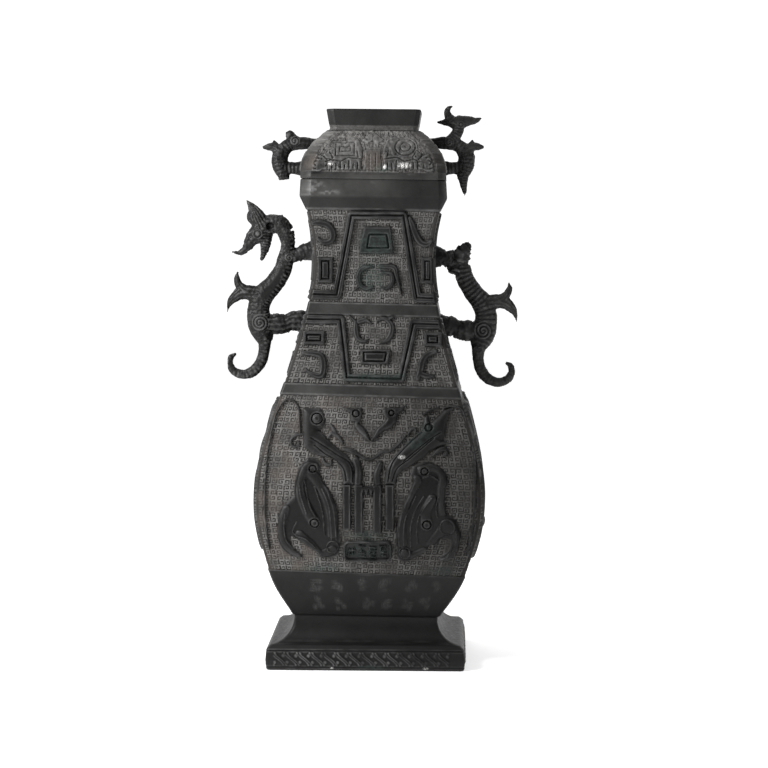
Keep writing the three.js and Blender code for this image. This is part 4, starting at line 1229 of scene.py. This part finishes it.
CREATURE = {
    "body": [(64.5, 409.5, 10.3), (72.3, 405.7, 10.8), (77.3, 399.3, 12.8), (77.5, 392, 13.2),
        (75.2, 385, 11), (74.6, 380, 8)],
    "upper arm": [(46, 407, 10), (53, 408.3, 8.8), (59.5, 408.7, 10), (67, 407.8, 10)],
    "lower arm": [(52, 388.4, 12.4), (60.8, 388.7, 11.8), (65.6, 389.1, 9.9), (76, 389.5, 9.5)],
    "fin": [(75.5, 401, 11), (82.5, 405.6, 7.4), (87.4, 405.6, 5.6), (91.6, 405.4, 2)],
    "spike": [(79, 403, 7.5), (82.6, 411.3, 1.6)],
}
CREATURE_HEAD = {
    "neck": [(64.5, 409.5, 10.4), (68.3, 413.2, 9.6), (71, 418, 8.8), (71.3, 423.5, 10.4)],
    "head": [(67, 423, 8), (71.5, 424.6, 11.2), (79.5, 425.8, 8), (85, 426.2, 4.8), (89.4, 428.4, 1.4)],
    "ear": [(70, 422.8, 8), (63, 424.8, 6), (54.2, 424.8, 1.6)],
    "crest": [(67.5, 424.5, 8), (63, 430.8, 6.4), (63.1, 435, 4.2), (66.6, 437.6, 1.6)],
    "tail": [(75.2, 385, 11), (75.3, 379.5, 7.6), (76, 372.7, 4.6), (76.8, 367.5, 1.2)],
}
CREATURE_STUMP = {"stump": [(-57, 409.5, 10), (-61, 414.5, 7.5), (-62.6, 418, 4.5)]}
DRAGON_FLATNESS = 0.72
CREATURE_FLATNESS = 0.8
VOXEL = 0.7


def turned(spines, turn, scale, shift):
    """A mirrored copy, turned, scaled and moved in the plane of the handles."""
    c = math.cos(math.radians(turn)) * scale
    s = math.sin(math.radians(turn)) * scale
    return {
        name: [(-c * x - s * z + shift[0], -s * x + c * z + shift[1], w * scale) for x, z, w in spine]
        for name, spine in spines.items()
    }


def tube(part, spine, flatness, sides=14):
    """A closed tube along a smooth line in the plane of the handles."""
    path = curved(spine, 5)
    angle = np.arange(sides) / sides * 2 * math.pi
    rings = []
    for i, (x, z, width) in enumerate(path):
        xa, za, _ = path[max(i - 1, 0)]
        xb, zb, _ = path[min(i + 1, len(path) - 1)]
        length = math.hypot(xb - xa, zb - za)
        ax, az = -(zb - za) / length, (xb - xa) / length
        side = np.cos(angle) * width / 2
        depth = np.sin(angle) * width * flatness / 2
        rings.append(np.stack([x + ax * side, depth, z + az * side], -1))
    grid = part.vertices(np.array(rings), {})
    following = np.roll(grid, -1, 1)
    part.join(grid[:-1], grid[1:], following[1:], following[:-1])
    part.faces += [grid[0][None, :], grid[-1][::-1][None, :]]


def fused(name, spines, flatness):
    """The mesh of the tubes melted into one skin."""
    part = Part()
    for spine in spines.values():
        tube(part, spine, flatness)
    raw = part.build(name + "_raw", None)
    remesh = raw.modifiers.new("melt", "REMESH")
    remesh.mode = "VOXEL"
    remesh.voxel_size = VOXEL * MM
    relax = raw.modifiers.new("relax", "SMOOTH")
    relax.factor = 0.5
    relax.iterations = 5
    mesh = bpy.data.meshes.new_from_object(raw.evaluated_get(bpy.context.evaluated_depsgraph_get()))
    old = raw.data
    bpy.data.objects.remove(raw)
    bpy.data.meshes.remove(old)
    return mesh


def runs(x, z, path):
    """For each run of a path of (x, z, width): how far along the path each point's nearest place is,
    how far it is from there, half the width there, and the side that the point is on, as -1 or 1."""
    start = 0.0
    for (xa, za, wa), (xb, zb, wb) in zip(path, path[1:]):
        dx, dz = xb - xa, zb - za
        length = math.hypot(dx, dz)
        t = np.clip(((x - xa) * dx + (z - za) * dz) / length**2, 0, 1)
        ox, oz = x - xa - t * dx, z - za - t * dz
        yield start + t * length, np.hypot(ox, oz), (wa + (wb - wa) * t) / 2, np.sign(dx * oz - dz * ox)
        start += length


def nearest(x, z, spines):
    """For each point: which spine is nearest, how far along it, and how far across it from -1 to 1."""
    which = np.zeros(x.shape, int)
    along = np.zeros(x.shape)
    across = np.zeros(x.shape)
    best = np.full(x.shape, 1e9)
    for index, spine in enumerate(spines.values()):
        for place, distance, half, side in runs(x, z, curved(spine, 3)):
            gap = distance / half
            closer = gap < best
            best = np.where(closer, gap, best)
            which = np.where(closer, index, which)
            along = np.where(closer, place, along)
            across = np.where(closer, gap * side, across)
    return which, along, across


def spiral(x, z, centre, radius, pitch):
    """A wound groove around a centre, 1 in the groove."""
    dx, dz = x - centre[0], z - centre[1]
    r = np.hypot(dx, dz)
    turns = r / pitch + np.arctan2(dz, dx) / (2 * math.pi)
    wave = 0.5 - 0.5 * np.cos(turns * 2 * math.pi)
    return smooth(wave * 1.5 - 0.4) * plateau(r - radius, 1.0)


PRESS = 2.5
LEFT_TONE = 0.09
RIGHT_TONE = 0.3
# Painted shade on the right handles, darker towards the vessel
RIGHT_HANDLE_SHADE = 0.75
RIGHT_HANDLE_SHADE_X = (59, 68)


def pressed(x, low, high):
    """Places along X with the tips that would leave the box pressed back into it, and not cut flat."""
    over = np.maximum(x - high + PRESS, 0)
    under = np.maximum(low + PRESS - x, 0)
    x = np.where(over > 0, high - PRESS * np.exp(-over / PRESS), x)
    return np.where(under > 0, low + PRESS * np.exp(-under / PRESS), x)


def creature_skin(name, spines, flatness, patterns, marks, wall, material, node):
    """A handle: fused limbs, then scales, ribs, beads and spirals pushed out along its normals."""
    mesh = fused(name, spines, flatness)
    count = len(mesh.vertices)
    co, no = np.zeros((2, count * 3))
    mesh.vertices.foreach_get("co", co)
    mesh.vertices.foreach_get("normal", no)
    co = co.reshape(-1, 3) / MM
    no = no.reshape(-1, 3)
    x, y, z = co.T
    which, along, across = nearest(x, z, spines)
    facing = smooth((np.abs(no[:, 1]) - 0.1) / 0.5)
    h = 0.4 * (noise(x, z + 1.7 * y, 3.0, 41) - 0.5) + 0.4 * (noise(x + y, z - y, 1.3, 42) - 0.5)
    for index, spine in enumerate(spines):
        if spine in patterns:
            h = np.where(which == index, h + patterns[spine](along, across, facing, no), h)
    for mark in marks:
        raised, cover = mark(x, z, facing)
        h = h * (1 - cover) + raised
    co = wall(co + no * h[:, None])
    co[:, 0] = pressed(co[:, 0] + FOOT_CENTRE_X, CAD_BOX[0][0] / MM, CAD_BOX[1][0] / MM)
    mesh.vertices.foreach_set("co", (co * MM).ravel())
    on_left = "left" in name
    low, high = RIGHT_HANDLE_SHADE_X
    # Raised skin painted paler, as wear and as painted highlight; hollows painted dark as shade
    values = {
        "wear": np.clip(h - 0.1, 0, 1),
        "shade": np.clip(-h, 0, 1),
        "tone_and_light": np.full(count, LEFT_TONE if on_left else RIGHT_TONE),
        "painted_shade": np.zeros(count) if on_left else RIGHT_HANDLE_SHADE * smooth((high - x) / (high - low)),
    }
    for key in VALUE_NAMES:
        write_value(mesh, key, values.get(key, np.zeros(count)))
    mesh.update()
    mesh.shade_smooth()
    mesh.materials.clear()
    mesh.materials.append(material)
    mesh.name = name
    return dressed(new_object(name, mesh), node)


# Patterns of a limb: a height from the place along and across it, its facing and its normal


def ribs(pitch, depth):
    def rule(along, across, facing, no):
        wave = np.cos(along / pitch * 2 * math.pi)
        return depth * (smooth(wave * 0.9 + 0.5) - 0.5) * facing * smooth((1.05 - np.abs(across)) * 3)

    return rule


def scales(pitch, depth):
    def rule(along, across, facing, no):
        row = along / pitch
        stagger = (np.floor(row) % 2) * 0.5
        v = (across * 2.2 + stagger) % 1 - 0.5
        edge = row % 1 - 0.55 + 1.6 * v * v
        return depth * (0.5 - groove(edge, 0.5)) * facing

    return rule


def lengthwise(lines, depth):
    return lambda along, across, facing, no: depth * (np.cos(across * lines * math.pi) * 0.5) * facing


def beads(pitch, depth, side):
    def rule(along, across, facing, no):
        ball = np.hypot((along / pitch % 1 - 0.5) * pitch, (across - side) * 3.4)
        return depth * crowned(ball - pitch * 0.4, pitch * 0.4) * facing

    return rule


def scallops(pitch, depth):
    """Lobes along the upper and lower edges of an arm."""

    def rule(along, across, facing, no):
        return depth * (np.abs(np.sin(along / pitch * math.pi)) - 0.5) * np.abs(no[:, 2]) ** 2

    return rule


def lumps(size, depth):
    def rule(along, across, facing, no):
        return depth * (noise(along + 3 * no[:, 1], across * 5 + 9 * no[:, 0], size, 47) - 0.45)

    return rule


def at_edge(rule, side):
    """The rule on one edge of a limb alone."""
    return lambda along, across, facing, no: (
        rule(along, across, facing, no) * smooth((across * side - 0.35) * 4)
    )


def both(*rules):
    return lambda *place: sum(rule(*place) for rule in rules)


FIN = both(lengthwise(4.0, 0.6), lumps(1.6, 0.4))
CREATURE_LIMBS = {
    "body": both(ribs(2.7, 0.45), lumps(1.6, 0.5)),
    "upper arm": lengthwise(2.6, 0.5),
    "lower arm": ribs(3.0, 0.6),
    "fin": lengthwise(3.0, 0.5),
}


# Marks on a handle: each is a height and how much it hides the patterns


def coil(centre, radius, pitch, depth):
    def mark(x, z, facing):
        cover = plateau(disc(x, z, centre, radius), 1.2)
        return facing * (0.7 * cover - depth * spiral(x, z, centre, radius, pitch)), cover

    return mark


def hollow(centre, radius, depth):
    def mark(x, z, facing):
        cover = plateau(disc(x, z, centre, radius + 0.6), 1.0)
        return -depth * crowned(disc(x, z, centre, radius), radius) * facing, cover

    return mark


def eye(centre, radius):
    def mark(x, z, facing):
        cover = plateau(disc(x, z, centre, radius), 1.0)
        ball = 0.7 * crowned(disc(x, z, centre, radius * 0.55), radius * 0.55)
        lid = 0.6 * groove(disc(x, z, centre, radius * 0.9), 1.6)
        return facing * (ball + lid - 0.7 * groove(disc(x, z, centre, radius * 0.62), 1.3)), cover

    return mark


def bare(outline_points):
    """A smooth field inside an outline."""
    return lambda x, z, facing: (0, plateau(polygon(x, z, outline_points), 1.5))


def saw_edge(path, pitch, depth):
    """A row of small teeth along a line on the edge of a limb."""
    teeth = curved([(x, z, 0.0) for x, z in path])

    def mark(x, z, facing):
        best = np.full(x.shape, 1e9)
        along = np.zeros(x.shape)
        for place, distance, _, _ in runs(x, z, teeth):
            along = np.where(distance < best, place, along)
            best = np.minimum(best, distance)
        return depth * smooth(1 - best / 2.2) * (0.5 + 0.5 * np.cos(along / pitch * 2 * math.pi)), 0

    return mark


WALL_FALL_DEGREES = 1.2
SEAT_DEPTH = 2.4
NECK_Z = np.linspace(200, 356, 60)
RIGHT_TURN = (-3.46, 0.981, (-7.9, 4.8))
LEFT_COIL = (-85.2, 267.1)
BARE_BACK = [(-66, 310), (-69, 314), (-74, 306), (-80, 297), (-85, 288), (-80, 284), (-75, 291), (-69, 300)]
MANE = [(-68, 352), (-60, 350), (-57.6, 342), (-57.8, 330)]


def seat(zs, ws, side):
    """Keeps a handle's inner ends just inside the wall that they are joined to."""

    def wall(co):
        x, z = co[:, 0], co[:, 2]
        upright = z + x * math.tan(math.radians(WALL_FALL_DEGREES))
        face = np.interp(upright, zs, ws) - SEAT_DEPTH
        limit = side * face + np.interp(z, DRIFT_Z, DRIFT_X)
        out = co.copy()
        out[:, 0] = np.maximum(x, limit) if side > 0 else np.minimum(x, limit)
        return out

    return wall


def neck_wall(side):
    return seat(NECK_Z, body_half_width(NECK_Z), side)


def lid_wall(side):
    zs, ws = zip(*LID_DOME)
    return seat((LID_RIM[0][0], *zs), (ws[0], *ws), side)


def dragon_left(material):
    patterns = {
        "body": both(scales(2.5, 0.45), at_edge(ribs(3.0, 0.9), 1)),
        "tail": both(scales(2.4, 0.4), beads(3.4, 0.5, 0.3)),
        "upper arm": both(lumps(1.8, 0.9), scallops(5.0, 0.8)),
        "lower arm": both(lengthwise(4.0, 0.9), scallops(6.5, 1.0), lumps(1.8, 0.6)),
        "fin up": FIN,
        "fin down": FIN,
        "neck top": both(scales(2.6, 0.5), lumps(2.0, 0.9)),
        "crest": both(lengthwise(6.0, 1.1), lumps(1.5, 0.5)),
        "snout": both(lengthwise(3.0, 0.4), lumps(1.8, 0.8)),
        "jaw": both(ribs(2.2, 0.9), lumps(1.8, 0.9)),
    }
    marks = [
        coil(LEFT_COIL, 7.6, 2.4, 0.9),
        coil((-62, 318.6), 4.2, 1.9, 0.7),
        bare(BARE_BACK),
        eye((-86.9, 337.4), 4.0),
        hollow((-77.1, 343.7), 3.0, 3.4),
        saw_edge(MANE, 2.8, 0.7),
    ]
    spines = {**DRAGON, **DRAGON_HEAD}
    return creature_skin("dragon_left", spines, DRAGON_FLATNESS, patterns, marks, neck_wall(-1), material,
                         "handle_left")


def dragon_right(material):
    spines = turned({**DRAGON, "body": DRAGON["body"][2:]}, *RIGHT_TURN)
    x, z, _ = turned({"coil": [(*LEFT_COIL, 1)]}, *RIGHT_TURN)["coil"][0]
    patterns = {
        "body": both(ribs(3.5, 0.75), lumps(1.8, 0.3)),
        "tail": both(scales(2.4, 0.4), lumps(1.6, 0.5)),
        "upper arm": both(scallops(5.5, 1.3), lumps(1.8, 0.9)),
        "lower arm": both(scallops(6.5, 1.6), lumps(1.8, 0.9)),
        "fin up": FIN,
        "fin down": FIN,
        "stump": lumps(2.0, 2.6),
        "knob": lumps(2.0, 2.2),
    }
    marks = [coil((x, z), 7.8, 2.7, 1.3)]
    return creature_skin("dragon_right", {**spines, **STUMP}, DRAGON_FLATNESS, patterns, marks,
                         neck_wall(1), material, "handle_right")


def creature_right(material):
    patterns = {
        **CREATURE_LIMBS,
        "tail": ribs(2.2, 0.6),
        "neck": ribs(2.4, 0.6),
        "crest": ribs(2.6, 0.5),
        "ear": lengthwise(2.4, 0.5),
    }
    marks = [coil((64, 409.2), 4.4, 2.0, 0.8), eye((73.3, 423), 2.5)]
    spines = {**CREATURE, **CREATURE_HEAD}
    return creature_skin("creature_right", spines, CREATURE_FLATNESS, patterns, marks, lid_wall(1), material,
                         "lid_handle_right")


def creature_left(material):
    patterns = {**CREATURE_LIMBS, "stump": lumps(1.8, 1.8)}
    marks = [coil((-57.2, 410.3), 4.6, 2.0, 0.8)]
    spines = {**turned(CREATURE, 0, 1, (8.3, 0)), **CREATURE_STUMP}
    return creature_skin("creature_left", spines, CREATURE_FLATNESS, patterns, marks, lid_wall(-1), material,
                         "lid_handle_left")


# Materials


class Nodes:
    """Short names for the nodes that the materials are made of."""

    def __init__(self, name):
        self.material = bpy.data.materials.new(name)
        self.material.use_nodes = True
        self.tree = self.material.node_tree
        self.tree.nodes.clear()
        self.out = self.tree.nodes.new("ShaderNodeOutputMaterial")
        self.shader = self.tree.nodes.new("ShaderNodeBsdfPrincipled")
        self.link(self.shader.outputs[0], self.out.inputs["Surface"])
        self.place = self.tree.nodes.new("ShaderNodeTexCoord").outputs["Object"]

    def link(self, a, b):
        self.tree.links.new(a, b)

    def attribute(self, name):
        node = self.tree.nodes.new("ShaderNodeAttribute")
        node.attribute_name = name
        return node.outputs["Fac"]

    def noise(self, scale, detail=3.0, roughness=0.55):
        node = self.tree.nodes.new("ShaderNodeTexNoise")
        node.inputs["Scale"].default_value = scale
        node.inputs["Detail"].default_value = detail
        node.inputs["Roughness"].default_value = roughness
        self.link(self.place, node.inputs["Vector"])
        return node.outputs["Fac"]

    def math(self, kind, a, b=0.0):
        node = self.tree.nodes.new("ShaderNodeMath")
        node.operation = kind
        for socket, value in zip(node.inputs, (a, b)):
            if isinstance(value, (int, float)):
                socket.default_value = value
            else:
                self.link(value, socket)
        return node.outputs[0]

    def spread(self, value, low, high, to_low=0.0, to_high=1.0):
        node = self.tree.nodes.new("ShaderNodeMapRange")
        self.link(value, node.inputs["Value"])
        for key, number in (("From Min", low), ("From Max", high), ("To Min", to_low), ("To Max", to_high)):
            node.inputs[key].default_value = number
        return node.outputs["Result"]

    def mix(self, amount, a, b):
        node = self.tree.nodes.new("ShaderNodeMix")
        node.data_type = "RGBA"
        self.link(amount, node.inputs["Factor"])
        for socket, value in ((node.inputs["A"], a), (node.inputs["B"], b)):
            if isinstance(value, tuple):
                socket.default_value = (*value, 1.0)
            else:
                self.link(value, socket)
        return node.outputs["Result"]

    def bump(self, height, strength, distance):
        node = self.tree.nodes.new("ShaderNodeBump")
        node.inputs["Strength"].default_value = strength
        node.inputs["Distance"].default_value = distance
        self.link(height, node.inputs["Height"])
        self.link(node.outputs["Normal"], self.shader.inputs["Normal"])


BRONZE_DARK = (0.004, 0.004, 0.0039)
BRONZE_PALE = (0.075, 0.074, 0.072)
GROUND_BROWN = (0.041, 0.0375, 0.034)
GROUND_GREY = (0.034, 0.033, 0.0315)
DUST_AND_TOP_LIGHT_COLOUR = (0.185, 0.18, 0.172)
WORN_AND_HIGHLIGHT_COLOUR = (0.2, 0.2, 0.198)
VERDIGRIS_COLOUR = (0.035, 0.056, 0.049)
BROWN_COLOUR = (0.11, 0.09, 0.077)
CHIP_AND_GLINT_COLOUR = (0.8, 0.79, 0.77)


def bronze(name):
    """Dark bronze: tone sets how pale the patina is and holds painted light and shade by height, the ground
    holds brown dirt, edges are rubbed and painted as highlights, and shade is painted into grooves and
    across the front.
    """
    n = Nodes(name)
    broad = n.noise(38.0, 4.0)
    fine = n.noise(420.0, 4.0, 0.65)
    patches = n.noise(95.0, 3.0)
    flakes = n.noise(1300.0, 2.0)
    tone_and_light = n.math("MULTIPLY", n.attribute("tone_and_light"), n.spread(broad, 0.3, 0.7, 0.45, 1.55))
    plain = n.mix(tone_and_light, BRONZE_DARK, BRONZE_PALE)
    floor = n.mix(n.spread(patches, 0.38, 0.62), GROUND_GREY, GROUND_BROWN)
    colour = n.mix(n.attribute("ground"), plain, floor)
    colour = n.mix(n.math("MULTIPLY", n.attribute("shade"), 0.75), colour, BRONZE_DARK)
    # The wear layer also paints highlights on raised edges, and the dust layer paints top light on the dome
    layers = [
        ("dust", n.spread(fine, 0.35, 0.7, 0.35, 0.95), DUST_AND_TOP_LIGHT_COLOUR),
        ("wear", n.spread(patches, 0.35, 0.7, 0.15, 0.75), WORN_AND_HIGHLIGHT_COLOUR),
        ("green", n.spread(fine, 0.4, 0.62, 0.1, 0.75), VERDIGRIS_COLOUR),
        ("brown", n.spread(fine, 0.3, 0.7, 0.2, 0.8), BROWN_COLOUR),
        ("chip", n.spread(flakes, 0.43, 0.5), CHIP_AND_GLINT_COLOUR),
    ]
    for key, texture, layer_colour in layers:
        colour = n.mix(n.math("MULTIPLY", n.attribute(key), texture), colour, layer_colour)
    # Painted shade mixed in, towards the right of the front and on the right handles near the vessel
    colour = n.mix(n.attribute("painted_shade"), colour, BRONZE_DARK)
    n.link(colour, n.shader.inputs["Base Color"])
    dirt = n.math("MULTIPLY", n.attribute("ground"), 0.22)
    n.link(n.math("ADD", n.spread(fine, 0.3, 0.7, 0.36, 0.56), dirt), n.shader.inputs["Roughness"])
    n.shader.inputs["Specular IOR Level"].default_value = 0.16
    n.bump(n.math("ADD", fine, n.math("MULTIPLY", patches, 1.5)), 0.35, 0.00035)
    return n.material


WHITE = (1.0, 1.0, 1.0, 1.0)
FLOOR_GLOW = 0.44


def floor_material():
    """The white table, lit from inside too so that it runs into the background."""
    n = Nodes("floor_white")
    n.link(n.mix(n.noise(3.0), (0.93, 0.93, 0.93), (0.96, 0.96, 0.96)), n.shader.inputs["Base Color"])
    n.shader.inputs["Roughness"].default_value = 0.9
    n.shader.inputs["Emission Color"].default_value = WHITE
    n.shader.inputs["Emission Strength"].default_value = FLOOR_GLOW
    return n.material


# Stage, light and camera, in metres apart from the camera's place

FLOOR_SIZE = 4.0
FLOOR_Z = -0.00005
KEY_LIGHT = {"place": (-0.46, -0.36, 0.52), "aim": (0, 0, 0.25), "size": 0.26, "power": 5.6}
TOP_LIGHT = {"place": (0.0, 0.1, 1.7), "aim": (0, 0, 0.0), "size": 2.4, "power": 9}
FRONT_LIGHT = 0.14
BACK_LIGHT = 1.12
CAMERA_DISTANCE = 1586.0
CAMERA_HEIGHT = 355.0
CAMERA_ORBIT_DEGREES = 2.4
CAMERA_PITCH_DEGREES = 4.93
FOCAL_PIXELS = 2000.0
FRAME_PIXELS = 768.0
CAMERA_YAW = math.atan(16.1 / FOCAL_PIXELS)
SENSOR = 36.0


def stage_floor():
    mesh = bpy.data.meshes.new("floor")
    corners = [(-1, -1), (1, -1), (1, 1), (-1, 1)]
    mesh.from_pydata([(x * FLOOR_SIZE, y * FLOOR_SIZE, FLOOR_Z) for x, y in corners], [], [(0, 1, 2, 3)])
    mesh.materials.append(floor_material())
    new_object("floor", mesh)


def area_light(name, place, aim, size, power):
    """A round lamp that faces its aim."""
    data = bpy.data.lights.new(name, "AREA")
    data.shape = "DISK"
    data.size = size
    data.energy = power
    thing = new_object(name, data)
    away = np.array(place) - np.array(aim)
    thing.location = place
    thing.rotation_euler = Vector(away / np.linalg.norm(away)).to_track_quat("Z", "Y").to_euler()


def world_light():
    """A white studio: bright behind the vessel and on the table, darker on the photographer's side."""
    world = bpy.data.worlds.new("white_studio")
    world.use_nodes = True
    tree = world.node_tree
    sky = tree.nodes["Background"]
    sky.inputs["Color"].default_value = WHITE
    place = tree.nodes.new("ShaderNodeTexCoord")
    axes = tree.nodes.new("ShaderNodeSeparateXYZ")
    level = tree.nodes.new("ShaderNodeMapRange")
    limits = {"From Min": -0.2, "From Max": 0.4, "To Min": FRONT_LIGHT, "To Max": BACK_LIGHT}
    for key, number in limits.items():
        level.inputs[key].default_value = number
    tree.links.new(place.outputs["Generated"], axes.inputs[0])
    tree.links.new(axes.outputs["Y"], level.inputs["Value"])
    tree.links.new(level.outputs["Result"], sky.inputs["Strength"])
    bpy.context.scene.world = world


def camera():
    """The photograph's camera, fitted to the vessel in it."""
    orbit = math.radians(CAMERA_ORBIT_DEGREES)
    heading = orbit - CAMERA_YAW
    pitch = math.radians(CAMERA_PITCH_DEGREES)
    level = math.cos(pitch)
    forward = Vector((-math.sin(heading) * level, math.cos(heading) * level, -math.sin(pitch)))
    right = Vector((math.cos(heading), math.sin(heading), 0.0))
    up = right.cross(forward)
    matrix = Matrix((right, up, -forward)).transposed().to_4x4()
    x = CAMERA_DISTANCE * math.sin(orbit) + FOOT_CENTRE_X
    y = -CAMERA_DISTANCE * math.cos(orbit)
    matrix.translation = Vector((x, y, CAMERA_HEIGHT)) * MM
    data = bpy.data.cameras.new("photo_camera")
    data.sensor_width = SENSOR
    data.lens = FOCAL_PIXELS / FRAME_PIXELS * SENSOR
    data.clip_end = 50.0
    thing = new_object("photo_camera", data)
    thing.matrix_world = matrix
    bpy.context.scene.camera = thing


PIECES = [vessel_foot, vessel_belly_lower, vessel_belly_upper, vessel_neck_lower, vessel_neck_upper,
          lid_body, dragon_left, dragon_right, creature_left, creature_right]


def main():
    camera()
    stage_floor()
    world_light()
    area_light("key", **KEY_LIGHT)
    area_light("top", **TOP_LIGHT)
    bpy.context.scene.view_settings.view_transform = "Standard"
    metal = bronze("dark_bronze")
    for make in PIECES:
        make(metal)


main()
